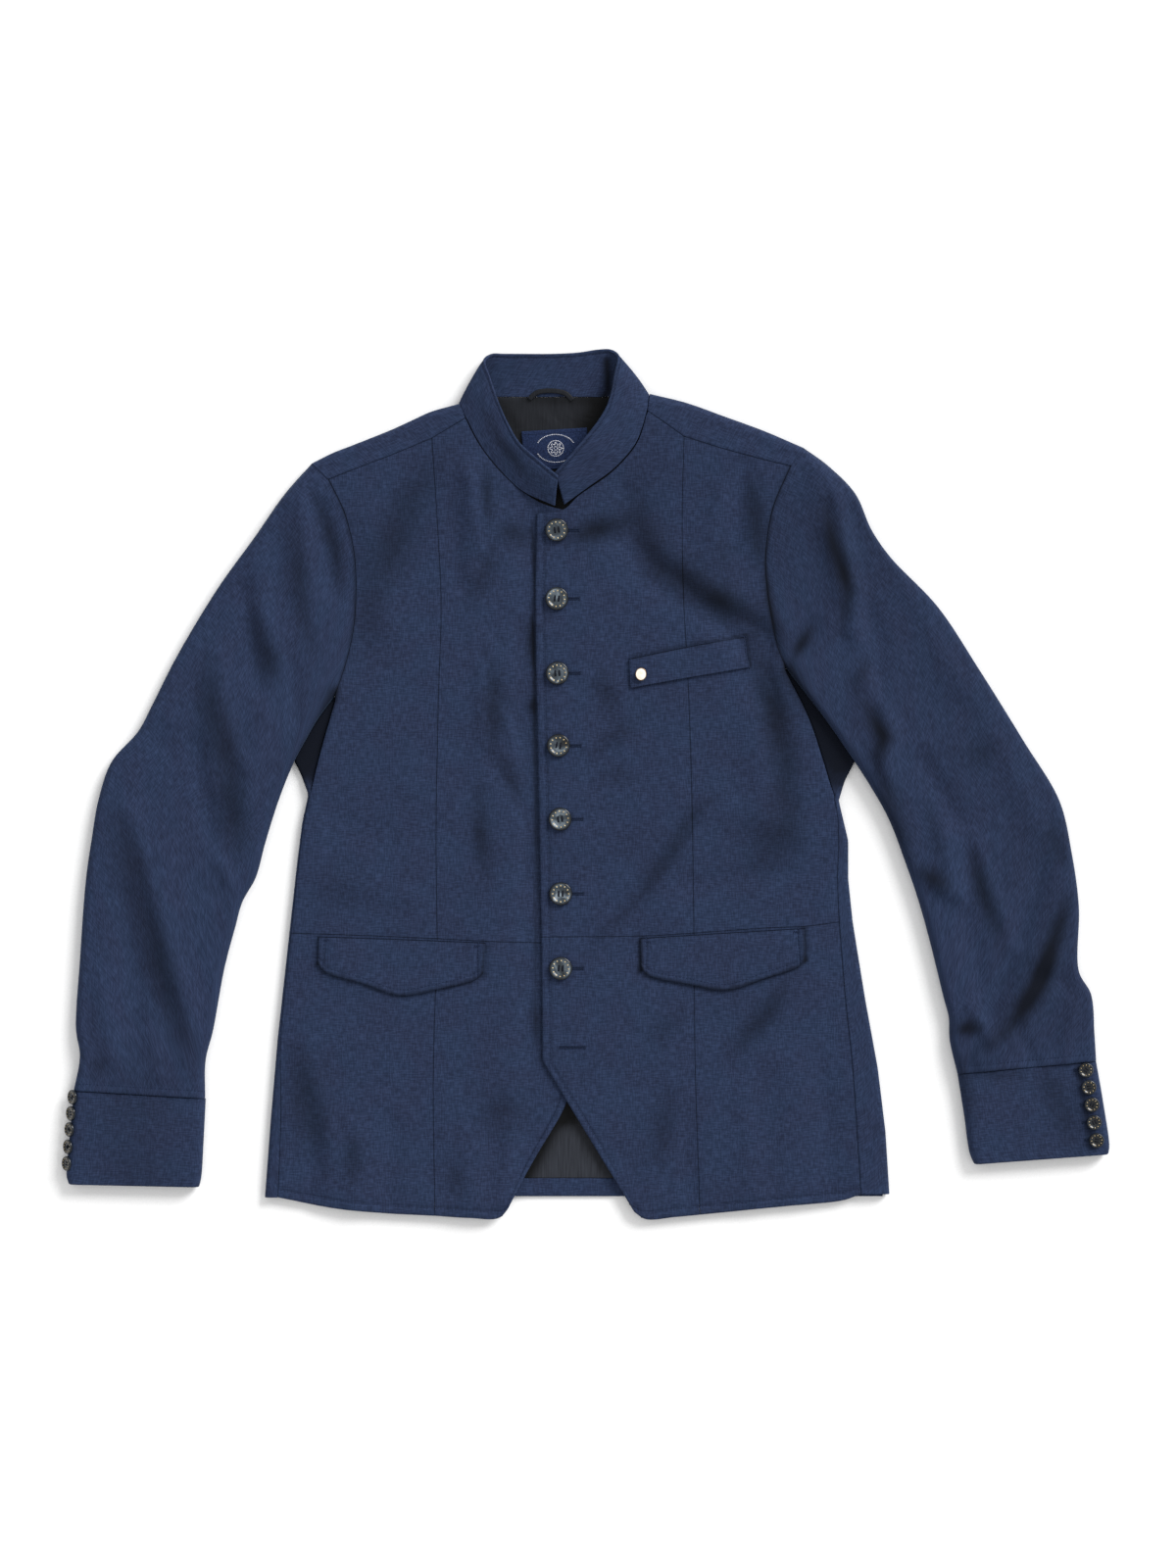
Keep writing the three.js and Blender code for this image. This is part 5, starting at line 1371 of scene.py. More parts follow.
    def shoulder_wrap(self, half: Half) -> Cloth:
        """The cloth over one shoulder, from the floor behind to the shoulder seam in front."""
        shares = spread(160.0, 4.0, (0.5, 1.5), (0.5, 1.5))
        fold = Edge(half.edges["shoulder_fold"]).at(shares)
        reach = half.collar_reach * smoothstep(shares, 0.9, 1.0)
        fold = fold + unit(fold[-1] - fold[-2]) * reach[:, None]
        seam = Edge(half.edges["shoulder_seam"], half.edges["neck_shoulder_seam"]).at(shares)
        for line in (fold, seam):
            line[0] += unit(line[0] - line[1]) * TURNED_IN
        run = seam - fold
        strip = np.linalg.norm(run, axis=1)
        radius = np.full(strip.shape, SHOULDER_HEIGHT / 2)
        return self.wrap_section(fold, run / strip[:, None], radius, strip, body_height, BACK_CLOTH,
                                 SHOULDER_HEIGHT / 2 + 1.5)

    def lining_relief(self, x: Array, y: Array) -> Array:
        """The centre pleat and creases of the lining, where the neck and the hem leave it in view."""
        pleat = 0.5 * np.tanh((x + 30 + 0.05 * (y - 340)) / 0.5) * smoothstep(y, 215, 240)
        creases = folds_rise(x, y, LINING_CREASES)
        return np.clip(pleat * 0.45 + creases + 0.12 * SMALL_WAVES.at(x, y), -0.5, 0.8)

    def build(self, finishes: Finishes, loop: Object) -> None:
        """Makes the back, its wraps, its lining and the facing of its hem."""
        back = self.layer(WRAP_END, 0.0, BACK_CLOTH, RIGHT_WRAP[-1][1] + 0.5, NECK_EDGE, self.step * 1.6)
        lay_cloth("back_wool", back, finishes.wool, Slot.WOOL, "back")
        for half in self.halves:
            lay_cloth(f"back_side_{half.side}_wool", self.side_wrap(half), finishes.wool, Slot.WOOL, "back")
            lay_cloth(f"back_shoulder_{half.side}_wool", self.shoulder_wrap(half), finishes.wool, Slot.WOOL,
                      "back")
        lining = self.layer(LINING_INSET, BACK_CLOTH + GAP, LINING, HEM_STRIP_TOP + SEAM, NECK_EDGE,
                            self.step * 0.75, self.lining_relief)
        x, y = lining.outer[..., 0], lining.outer[..., 1]
        # Painted shade: the lining darkens towards the neck and in bands along the front edges
        lining.painted_shade = np.clip(0.5 * smoothstep(y, 180, 240) + folds_rise(x, y, LINING_PAINTED_SHADE), 0, 1)
        lay_cloth("lining_satin", lining, finishes.lining, Slot.LINING, "lining_back")
        facing = self.layer(LINING_INSET, BACK_CLOTH + GAP, LINING, BACK_HEM, HEM_STRIP_TOP - SEAM, 4.0)
        lay_cloth("hem_facing_wool", facing, finishes.wool, Slot.WOOL, "hem_facing_back")


@dataclass
class Sleeve:
    """One sleeve: an upper half over the top and an under half on the floor, sewn along both folds."""

    side: str
    edges: dict[str, Table]
    sections: Table
    rows: int = 190
    hem_line: float = 7.0
    armhole_reach: float = 0.35
    roll_angles: tuple = (0.0, 35.0, 65.0, 90.0)
    topstitching: list[SewnLine] = field(default_factory=list)

    def frames(self, start: Array) -> dict[str, Array]:
        """Folds, heights and nearness to the armhole of every section.

        Args:
            start: First and last place of the armhole seam.

        Returns:
            Named columns, one row for each section.
        """
        near_ends = np.array([0.0, 0.3, 0.9, 2.0]) / 3.0
        along = np.unique(np.concatenate([
            np.linspace(0, 1, self.rows), near_ends / self.rows, 1 - near_ends / self.rows]))
        last = len(self.sections) - 1
        outer = curve_by_row([row[:2] for row in self.sections], along * last)
        inner = curve_by_row([row[2:] for row in self.sections], along * last)
        follow = 1 - smoothstep(along, 0, self.armhole_reach)
        seam_heights = 2 * body_height(start[:, 0], start[:, 1])
        heights = SLEEVE_HEIGHT + (seam_heights[None] - SLEEVE_HEIGHT) * (follow**2)[:, None]
        return {"along": along, "outer": outer, "inner": inner, "follow": follow, "heights": heights}

    def places(self, seam: Callable[[Array], Array], shares: Array, roll_end: float) -> dict:
        """Places across every section.

        Args:
            seam: Gives places of the armhole seam by share.
            shares: Shares across the section.
            roll_end: Share at which the roll round the fold ends.

        Returns:
            Plan, height of the section, distance from the fold, lean of the cloth and the way inward.
        """
        start = seam(shares)
        frames = self.frames(start[[0, -1]])
        outer, inner = frames["outer"][:, None], frames["inner"][:, None]
        width = np.linalg.norm(inner - outer, axis=-1)
        steps = np.linspace(0, 1, len(self.roll_angles))
        near = np.minimum(shares, 1 - shares)
        angle = np.radians(np.interp(near / roll_end, steps, self.roll_angles))
        rolled_near = SLEEVE_HEIGHT / 2 * (1 - np.cos(angle))[None] / width
        edge = SLEEVE_HEIGHT / 2 / width
        middle = edge + (1 - 2 * edge) * ((shares - roll_end) / (1 - 2 * roll_end))[None]
        rolled = np.where(near < roll_end, np.where(shares < 0.5, rolled_near, 1 - rolled_near), middle)
        follow = frames["follow"][:, None]
        share = rolled + (shares[None] - rolled) * follow
        chord = start[0] + (start[-1] - start[0]) * shares[:, None]
        bow = (start - chord)[None] * follow[..., None]
        plan = outer + (inner - outer) * share[..., None] + bow
        low, high = frames["heights"][:, :1], frames["heights"][:, 1:]
        height = low + (high - low) * share
        distance = np.minimum(share, 1 - share) * width
        lean = np.maximum(1 - 2 * distance / height, 0)
        inward = np.where(shares < 0.5, 1.0, -1.0)[None, :, None] * (inner - outer) / width[..., None]
        return {"plan": plan, "height": height, "distance": distance, "lean": lean, "inward": inward,
                "follow": follow}

    def shell(self, found: dict, level: Array, upwards: int) -> Cloth:
        """Both faces of the cloth: its thickness goes inwards at the folds, and up or down between them."""
        foot = np.dstack([found["plan"], level])
        lean = found["lean"][..., None]
        inward = found["inward"] * lean * CLOTH
        rise = upwards * CLOTH * np.sqrt(1 - found["lean"] ** 2)
        inner = foot + np.dstack([inward, rise])
        away = distances(foot)
        uv = np.dstack([away["left"], -away["bottom"]])
        for end, beside in ((0, 1), (-1, -2)):
            shift = SEAM * unit(foot[beside] - foot[end])
            foot[end] += shift
            inner[end] += shift
        return Cloth(foot, inner, uv)

    def upper(self) -> Cloth:
        """The upper half, from its cap at the armhole down to its hem."""
        cap, armhole = Edge(self.edges["cap_seam"]), Edge(self.edges["armhole"])
        seam = lambda s: np.where((s < 0.25)[:, None], cap.at(np.clip(s * 4, 0, 1)),
                                  armhole.at(np.clip((s - 0.25) / 0.75, 0, 1)))
        roll = 0.25
        shares = np.concatenate([np.linspace(0, roll, 10)[:-1], np.linspace(roll, 1 - roll, 37),
                                 np.linspace(1 - roll, 1, 10)[1:]])
        found = self.places(seam, shares, roll)
        x, y = found["plan"][..., 0], found["plan"][..., 1]
        relief = cloth_relief(x, y) * smoothstep(found["distance"], 2, 24)
        level = roll_down(found["height"], found["distance"]) + relief
        step = body_height(x[0], y[0]) - level[0]
        level = level + step[None] * found["follow"] ** 2 + SEAM
        foot = np.dstack([found["plan"], level])
        away = distances(foot)
        sink = Rim.SEAM.sink(away["bottom"]) + self.hem_sink(away["top"])
        pucker = bell(away["bottom"], 6.0) * (1 + PUCKERS.at(x, y * 1.4))
        cloth = self.shell(found, level, -1)
        cloth.outer[..., 2] -= np.minimum(sink + 0.3 * pucker, CLOTH - 0.3) * (1 - found["lean"])
        # Painted shade of the folds, and along the armhole seam
        cloth.painted_shade = np.clip(painted_shade_at(x, y) + Rim.SEAM.shade(away["bottom"]), 0, 1)
        self.topstitching.append(line_beside(cloth.outer, "top", self.hem_line, 4, foot))
        return cloth

    def hem_sink(self, distance: Array) -> Array:
        """Turned hem of the sleeve: a rounded edge, a raised band and a sewn line above it."""
        groove = 0.5 * bell(distance - self.hem_line, 1.2)
        return 1.3 * rounded(distance, 1.3) + groove - 0.4 * bell(distance - 3.4, 2.4)

    def under(self) -> Cloth:
        """The under half, flat on the floor between its folds."""
        back = Edge(self.edges["back_armhole"])
        roll = 3 / 8
        shares = np.concatenate([np.linspace(0, roll, 10)[:-1], np.linspace(roll, 1 - roll, 13),
                                 np.linspace(1 - roll, 1, 10)[1:]])
        found = self.places(back.at, shares, roll)
        level = found["height"] - roll_down(found["height"], found["distance"])
        level = np.maximum(level - SEAM * found["lean"], 0)
        cloth = self.shell(found, level, 1)
        cloth.painted_shade = painted_shade_at(found["plan"][..., 0], found["plan"][..., 1])
        return cloth

    def build(self, finishes: Finishes) -> None:
        """Makes both halves."""
        under, upper = f"sleeve_{self.side}_under", f"sleeve_{self.side}_upper"
        lay_cloth(f"{under}_wool", self.under(), finishes.wool, Slot.WOOL, under)
        lay_cloth(f"{upper}_wool", self.upper(), finishes.wool, Slot.WOOL, upper)


@dataclass
class Cuff:
    """One cuff: a flattened band round the wrist."""

    side: str
    sections: Table
    turns: int = 12
    rim: float = 1.2

    def ring(self, start: Array, end: Array, inset: Array) -> Array:
        """Places round the band, one ring for each section.

        Args:
            start: Places of the outer fold.
            end: Places of the inner fold.
            inset: How far each ring lies inside the outer face.

        Returns:
            Rings of places.
        """
        radius = CUFF_HEIGHT / 2
        width = np.linalg.norm(end - start, axis=1)
        towards = (end - start) / width[:, None]
        reach = radius - inset
        rings = []

        def place(centre: Array, angle: float) -> None:
            """Adds a place at an angle round one of the two folds."""
            sine = math.sin(angle)
            away = centre + reach * math.cos(angle)
            level = radius + reach * sine + (CUFF_LIFT * sine if sine > 0 else 0.0)
            rings.append(np.column_stack([start + towards * away[:, None], level]))

        for share in np.linspace(0, 1, self.turns + 1):
            place(width - radius, math.pi * (share - 0.5))
        for share in np.linspace(0, 1, 22)[1:-1]:
            place(width - radius - (width - 2 * radius) * share, math.pi / 2)
        for share in np.linspace(0, 1, self.turns + 1):
            place(np.full(width.shape, radius), math.pi * (share + 0.5))
        for share in np.linspace(0, 1, 10)[1:-1]:
            place(radius + (width - 2 * radius) * share, 1.5 * math.pi)
        return transposed(np.array(rings))

    def build(self, finishes: Finishes) -> Cloth:
        """Makes the band, with its wrist end turned in."""
        last = len(self.sections) - 1
        rows = np.unique(np.concatenate([np.linspace(0, last, 44), [0.004, 0.012, last - 0.01, last - 0.04]]))
        start = curve_by_row([row[:2] for row in self.sections], rows)
        end = curve_by_row([row[2:] for row in self.sections], rows)
        wrist = np.linalg.norm(start - start[-1], axis=1)
        inset = self.rim * 0.7 * rounded(wrist, self.rim)
        outer = self.ring(start, end, inset)
        inner = self.ring(start, end, np.full(inset.shape, CLOTH))
        x, y = outer[..., 0], outer[..., 1]
        top = smoothstep(outer[..., 2], CUFF_HEIGHT * 0.9, CUFF_HEIGHT)
        outer[..., 2] += top * (0.35 * BROAD_WAVES.at(x * 1.4, y * 1.4) - 0.1)
        around = np.cumsum(np.pad(np.linalg.norm(np.diff(outer, axis=1), axis=-1), ((0, 0), (1, 0))), axis=1)
        along = np.repeat(-wrist[:, None], outer.shape[1], axis=1)
        cloth = Cloth(outer, inner, np.dstack([around, along]), closed=True, painted_shade=painted_shade_at(x, y))
        node = f"cuff_{self.side}"
        lay_cloth(f"{node}_wool", cloth, finishes.wool, Slot.WOOL, node)
        return cloth


@dataclass
class Collar:
    """The stand collar: one band from the right front round the back of the neck to the left front."""

    around: int = 260
    height: float = 40.0
    edge_line: float = 3.4
    topstitching: list[SewnLine] = field(default_factory=list)

    def build(self, finishes: Finishes) -> None:
        """Makes the band, with a rounded free edge and a sewn line along it on both faces."""
        last = len(COLLAR_BASE) - 1
        ends = np.array([0.02, 0.05, 0.09, 0.16])
        rows = np.unique(np.concatenate([np.linspace(0, last, self.around), ends, last - ends]))
        base, top = curve_by_row(COLLAR_BASE, rows), curve_by_row(COLLAR_TOP, rows)
        line = self.edge_line
        near_edge = (0.1, 0.4, 0.8, 1.2, line - 1, line, line + 1)
        shares = spread(self.height, 2.6, (0.2, 0.5, 0.9, 1.5), near_edge)
        out = unit(np.cross(top - base, np.gradient(base, axis=0)))
        bow = COLLAR_BOW * np.sin(math.pi * shares)
        middle = base[:, None] + (top - base)[:, None] * shares[None, :, None]
        middle = middle + out[:, None] * bow[None, :, None]
        x, y = middle[..., 0], middle[..., 1]
        fade = smoothstep(shares, 0.15, 0.5)[None, :, None]
        middle = middle + out[:, None] * (0.5 * SMALL_WAVES.at(x * 0.7, y * 0.7))[..., None] * fade
        normals = unit(np.cross(np.gradient(middle, axis=1), np.gradient(middle, axis=0)))
        away = distances(middle)
        half = np.full(away["left"].shape, COLLAR_CLOTH / 2)
        for side in ("right", "bottom", "top"):
            inward = np.clip(1 - away[side] / (COLLAR_CLOTH / 2), 0, 1)
            half = np.minimum(half, COLLAR_CLOTH / 2 * np.sqrt(1 - inward**2) + 0.06)
        half = half - 0.5 * bell(away["right"] - line, 0.8)
        half = half + 0.25 * bell(away["right"] - 1.6, 0.9)
        seam_roll = Rim.SEAM.sink(away["left"])
        outer = middle + normals * (half - 0.8 * seam_roll)[..., None]
        inner = middle - normals * half[..., None]
        for face in (outer, inner):
            face[..., 2] = np.maximum(face[..., 2], 0.0)
        uv = np.dstack([-away["bottom"], away["left"]])
        # Painted shade of the folds, and a painted dark line along the sewn line of the free edge
        painted_shade = painted_shade_at(outer[..., 0], outer[..., 1]) + 0.4 * bell(away["right"] - line, 0.8)
        cloth = Cloth(outer, inner, uv, painted_shade=np.clip(painted_shade, 0, 1))
        lay_cloth("collar_wool", cloth, finishes.wool, Slot.WOOL, "collar")
        for face, sign in ((outer, 1), (inner, -1)):
            read = lambda values: np.array([
                [np.interp(line, away["right"][row, ::-1], values[row, ::-1, axis]) for axis in range(3)]
                for row in range(6, len(face) - 6)])
            self.topstitching.append(SewnLine(read(face), read(sign * normals)))


@dataclass
class Pocket:
    """A flap or a welt that lies on the front."""

    node: str
    shape: dict[str, Table]
    rims: dict[str, Rim]
    stitch: float = 6.4
    # Bar tacks: length, breadth, and distance from the ends and from the top edge of a flap
    tack_length: float = 8.0
    tack_width: float = 1.6
    tack_inset: float = 2.0
    tack_drop: float = 3.6
    topstitching: list[SewnLine] = field(default_factory=list)
    # Lines of dark stitches that paint the shade at the pocket's opening
    mouth_shade: list[SewnLine] = field(default_factory=list)
    tacks: list[SewnLine] = field(default_factory=list)

    def face(self, x: Array, y: Array) -> Array:
        """Height of the outer face of the piece."""
        return body_height(x, y) + CLOTH + 2 * GAP

    def mark_mouth_shade(self) -> None:
        """Marks dark stitches that paint shade along the top edge, where the pocket opens, and the bar tacks
        at its ends.
        """
        # Painted shade: dark stitches just above the top edge, and on the welt also along its right end
        line = Edge(self.shape["top"]).at(np.linspace(0, 1, 50))
        self.mouth_shade.append(on_cloth(line[:, 0], line[:, 1] + 0.5, body_height, 0.3))
        if self.rims["bottom"] is Rim.SEAM:
            foot, head = np.array(self.shape["free"][-1]), np.array(self.shape["top"][-1])
            side = foot + (head - foot) * np.linspace(0, 1, 12)[:, None]
            self.mouth_shade.append(on_cloth(side[:, 0] + 0.5, side[:, 1], body_height, 0.3))
            return
        (left_x, left_y), (right_x, right_y) = self.shape["top"][0], self.shape["top"][-1]
        right_x -= self.tack_length + 2 * self.tack_inset
        for start_x, start_y in ((left_x, left_y), (right_x, right_y)):
            x = start_x + self.tack_inset + np.linspace(0, self.tack_length, 9)
            y = start_y - self.tack_drop + self.tack_width * (np.arange(9) % 2)
            self.tacks.append(on_cloth(x, y, self.face))

    def build(self, finishes: Finishes) -> None:
        """Makes the piece and marks its topstitching."""
        self.mark_mouth_shade()
        free, top = Edge(self.shape["free"]), Edge(self.shape["top"])
        left = Edge([self.shape["free"][0], self.shape["top"][0]])
        right = Edge([self.shape["free"][-1], self.shape["top"][-1]])
        across = spread(free.length, 3.0, self.rims["left"].marks, self.rims["right"].marks)
        along = spread(left.length, 2.4, self.rims["bottom"].marks, self.rims["top"].marks)
        plan = coons(free, top, left, right, across, along)
        cloth = cloth_over(plan, body_height, CLOTH, self.rims, CLOTH + 2 * GAP)
        lay_cloth(f"{self.node}_wool", cloth, finishes.wool, Slot.WOOL, self.node)
        if self.rims["bottom"] is Rim.EDGE:
            self.topstitching.append(line_beside(cloth.outer, "bottom", self.stitch, trim=8))
        for side in ("left", "right"):
            line = line_beside(cloth.outer, side, self.stitch if self.rims[side] is Rim.EDGE else 1.6)
            self.topstitching.append(SewnLine(line.points[4:], line.normals[4:]))


# Sewing by node trees


class RepeatTree:
    """A node tree that repeats a small ball. A subclass names its inputs and adds its nodes."""

    name: str
    inputs: dict[str, str]

    def __init__(self) -> None:
        """Builds the tree between its named inputs and its output."""
        self.tree = bpy.data.node_groups.new(self.name, "GeometryNodeTree")
        for label, kind in self.inputs.items():
            self.tree.interface.new_socket(label, in_out="INPUT", socket_type=f"NodeSocket{kind}")
        self.tree.interface.new_socket("Geometry", in_out="OUTPUT", socket_type="NodeSocketGeometry")
        last = self.nodes(partial(add_node, self.tree), add_node(self.tree, "NodeGroupInput").outputs)
        add_node(self.tree, "NodeGroupOutput", None, {"Geometry": last})

    def run(self, name: str, guide: Mesh, values: dict[str, object]) -> Mesh:
        """Gives the repeats as a plain mesh.

        Args:
            name: Name of the mesh.
            guide: The mesh that the tree starts from.
            values: Values of the tree's inputs, in metres.

        Returns:
            The mesh.
        """
        holder = add_object(f"{name}_holder", guide)
        modifier = holder.modifiers.new("repeats", "NODES")
        modifier.node_group = self.tree
        for item in self.tree.interface.items_tree:
            if item.in_out == "INPUT" and item.name in values:
                modifier[item.identifier] = values[item.name]
        mesh = evaluated(holder)
        mesh.name = name
        return mesh


@dataclass(frozen=True)
class Stitch:
    """A kind of stitch: distance to the next one, length, width, seed, and turn out of its line."""

    pitch: float
    length: float
    width: float
    seed: int
    turn: float = 0.0


class StitchTree(RepeatTree):
    """A node tree that sets stitches along lines."""

    name = "stitches_along_lines"
    inputs = {"Geometry": "Geometry", "Pitch": "Float", "Length": "Float", "Width": "Float", "Turn": "Float",
              "Seed": "Int", "Thread": "Material"}

    def nodes(self, add: Callable[..., Node], given: dict) -> Node:
        """Adds the nodes.

        Args:
            add: Adds a node to the tree.
            given: Outputs of the tree's inputs.

        Returns:
            The last node.
        """
        line = add("GeometryNodeMeshToCurve", None, {"Mesh": given["Geometry"]})
        points = add("GeometryNodeResampleCurve", {"mode": "LENGTH"},
                     {"Curve": line, "Length": given["Pitch"]})
        outward = add("GeometryNodeInputNamedAttribute", {"data_type": "FLOAT_VECTOR"}, {"Name": "outward"})
        facing = add("FunctionNodeAxesToRotation", {"primary_axis": "Z", "secondary_axis": "X"},
                     {"Primary Axis": outward, "Secondary Axis": add("GeometryNodeInputTangent")})
        slant = add("ShaderNodeCombineXYZ", None, {"Z": given["Turn"]})
        turned = add("FunctionNodeRotateRotation", {"rotation_space": "LOCAL"},
                     {"Rotation": facing, "Rotate By": slant})
        ball = add("GeometryNodeMeshUVSphere", None, {"Segments": 6, "Rings": 4, "Radius": 0.5})
        size = add("ShaderNodeCombineXYZ", None,
                   {"X": given["Length"], "Y": given["Width"], "Z": given["Width"]})
        vary = add("FunctionNodeRandomValue", {"data_type": "FLOAT_VECTOR"},
                   {"Min": (0.9, 0.85, 0.85), "Max": (1.06, 1.15, 1.15), "Seed": given["Seed"]})
        scale = add("ShaderNodeVectorMath", {"operation": "MULTIPLY"}, {0: size, 1: vary})
        stitches = add("GeometryNodeInstanceOnPoints", None,
                       {"Points": points, "Instance": ball, "Rotation": turned, "Scale": scale})
        real = add("GeometryNodeRealizeInstances", None, {"Geometry": stitches})
        return add("GeometryNodeSetMaterial", None, {"Geometry": real, "Material": given["Thread"]})

    def sew(self, name: str, lines: Sequence[SewnLine], stitch: Stitch, thread: Material,
            slot: Slot = Slot.WOOL) -> None:
        """Makes a piece of stitches along lines.

        Args:
            name: Name of the piece.
            lines: The lines.
            stitch: The kind of stitch.
            thread: Its material.
            slot: Its slot in the record; not used.
        """
        corners, pairs, ways = [], [], []
        for line in lines:
            first = len(corners)
            corners += (line.points * MM).tolist()
            ways += line.normals.tolist()
            pairs += [(first + step, first + step + 1) for step in range(len(line.points) - 1)]
        guide = bpy.data.meshes.new(f"{name}_lines")
        guide.from_pydata(corners, pairs, [])
        outward = guide.attributes.new("outward", "FLOAT_VECTOR", "POINT")
        outward.data.foreach_set("vector", np.array(ways, np.float32).ravel())
        mesh = self.run(name, guide, {
            "Pitch": stitch.pitch * MM, "Length": stitch.length * MM, "Width": stitch.width * MM,
            "Turn": stitch.turn, "Seed": stitch.seed, "Thread": thread,
        })
        mesh.shade_smooth()
        settle(add_object(name, mesh), slot)


@dataclass
class Stitching:
    """The sewing of the buttonholes and bar tacks, and dark stitches that paint the shade at the pocket
    openings.
    """

    tree: StitchTree
    finishes: Finishes
    # Half of the distance between the two lips of a buttonhole, and half of its end bar
    lip: float = 0.75
    bar: float = 1.5
    # Start of a buttonhole, from the middle of its button or of the empty hole, and its length
    front_hole: tuple[float, float] = (5.0, 15.5)
    empty_hole: tuple[float, float] = (-12.0, 23.0)
    cuff_hole: tuple[float, float] = (-10.5, 5.0)

    def pockets(self, pockets: Sequence[Pocket]) -> None:
        """Sews dark stitches that paint shade along the pocket openings, and the bar tacks at the ends of the
        flaps.
        """
        mouth_shades = [line for pocket in pockets for line in pocket.mouth_shade]
        self.tree.sew("pocket_mouth_shade", mouth_shades, Stitch(1.5, 2.6, 0.7, 6), self.finishes.hole_thread)
        tacks = [line for pocket in pockets for line in pocket.tacks]
        self.tree.sew("bar_tacks", tacks, Stitch(0.9, 1.2, 0.6, 7), self.finishes.seam_thread)

    def buttonhole(self, x: float, y: float, hole: tuple[float, float], height: Height) -> list[SewnLine]:
        """The two lips of a buttonhole and the bar at its end.

        Args:
            x: Middle of its button.
            y: Level of its button.
            hole: Its start from there and its length.
            height: Height of the cloth.

        Returns:
            Lines along which its stitches lie.
        """
        start, end = x + hole[0], x + hole[0] + hole[1]
        along = np.linspace(start, end, 12)
        lines = [on_cloth(along, np.full(along.shape, level), height)
                 for level in (y - self.lip, y + self.lip)]
        bar = np.linspace(y - self.bar, y + self.bar, 5)
        return [*lines, on_cloth(np.full(bar.shape, end), bar, height)]

    def buttonholes(self) -> None:
        """Sews every buttonhole of the left front and of the left cuff."""
        holes = [(x, y, self.front_hole, body_height) for x, y in FRONT_BUTTONS]
        holes.append((*EMPTY_BUTTONHOLE, self.empty_hole, body_height))
        for number in range(1, 6):
            low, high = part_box(f"button_cuff_left_{number}")
            middle = (low + high) / 2 / MM
            holes.append((middle.x, middle.y, self.cuff_hole, cuff_top))
        lines = [line for hole in holes for line in self.buttonhole(*hole)]
        self.tree.sew("buttonholes", lines, Stitch(0.62, 1.7, 0.6, 5, math.pi / 2), self.finishes.hole_thread)


def cuff_top(x: Array, y: Array) -> Array:
    """Height of the outer face of a cuff."""
    return np.full(np.shape(x), CUFF_HEIGHT + CUFF_LIFT)


def on_cloth(x: Array, y: Array, height: Height, lift: float = 0.1) -> SewnLine:
    """A line that lies on a cloth of a given height."""
    step = 0.5
    slope_x = (height(x + step, y) - height(x - step, y)) / (2 * step)
    slope_y = (height(x, y + step) - height(x, y - step)) / (2 * step)
    normals = unit(np.column_stack([-slope_x, -slope_y, np.ones(x.shape)]))
    return SewnLine(np.column_stack([x, y, height(x, y) + lift]), normals)


# Buttons


class TickTree(RepeatTree):
    """A node tree that sets ticks in a ring."""

    name = "ticks_in_a_ring"
    inputs = {"Count": "Int", "Radius": "Float", "Size": "Vector", "Level": "Float", "Paint": "Material"}

    def nodes(self, add: Callable[..., Node], given: dict) -> Node:
        """Adds the nodes.

        Args:
            add: Adds a node to the tree.
            given: Outputs of the tree's inputs.

        Returns:
            The last node.
        """
        ring = add("GeometryNodeCurvePrimitiveCircle", {"mode": "RADIUS"},
                   {"Resolution": given["Count"], "Radius": given["Radius"]})
        facing = add("FunctionNodeAxesToRotation", {"primary_axis": "Z", "secondary_axis": "Y"},
                     {"Primary Axis": (0.0, 0.0, 1.0), "Secondary Axis": add("GeometryNodeInputTangent")})
        ball = add("GeometryNodeMeshUVSphere", None, {"Segments": 8, "Rings": 4, "Radius": 0.5})
        ticks = add("GeometryNodeInstanceOnPoints", None,
                    {"Points": ring, "Instance": ball, "Rotation": facing, "Scale": given["Size"]})
        real = add("GeometryNodeRealizeInstances", None, {"Geometry": ticks})
        raised = add("ShaderNodeCombineXYZ", None, {"Z": given["Level"]})
        placed = add("GeometryNodeTransform", None, {"Geometry": real, "Translation": raised})
        return add("GeometryNodeSetMaterial", None, {"Geometry": placed, "Material": given["Paint"]})


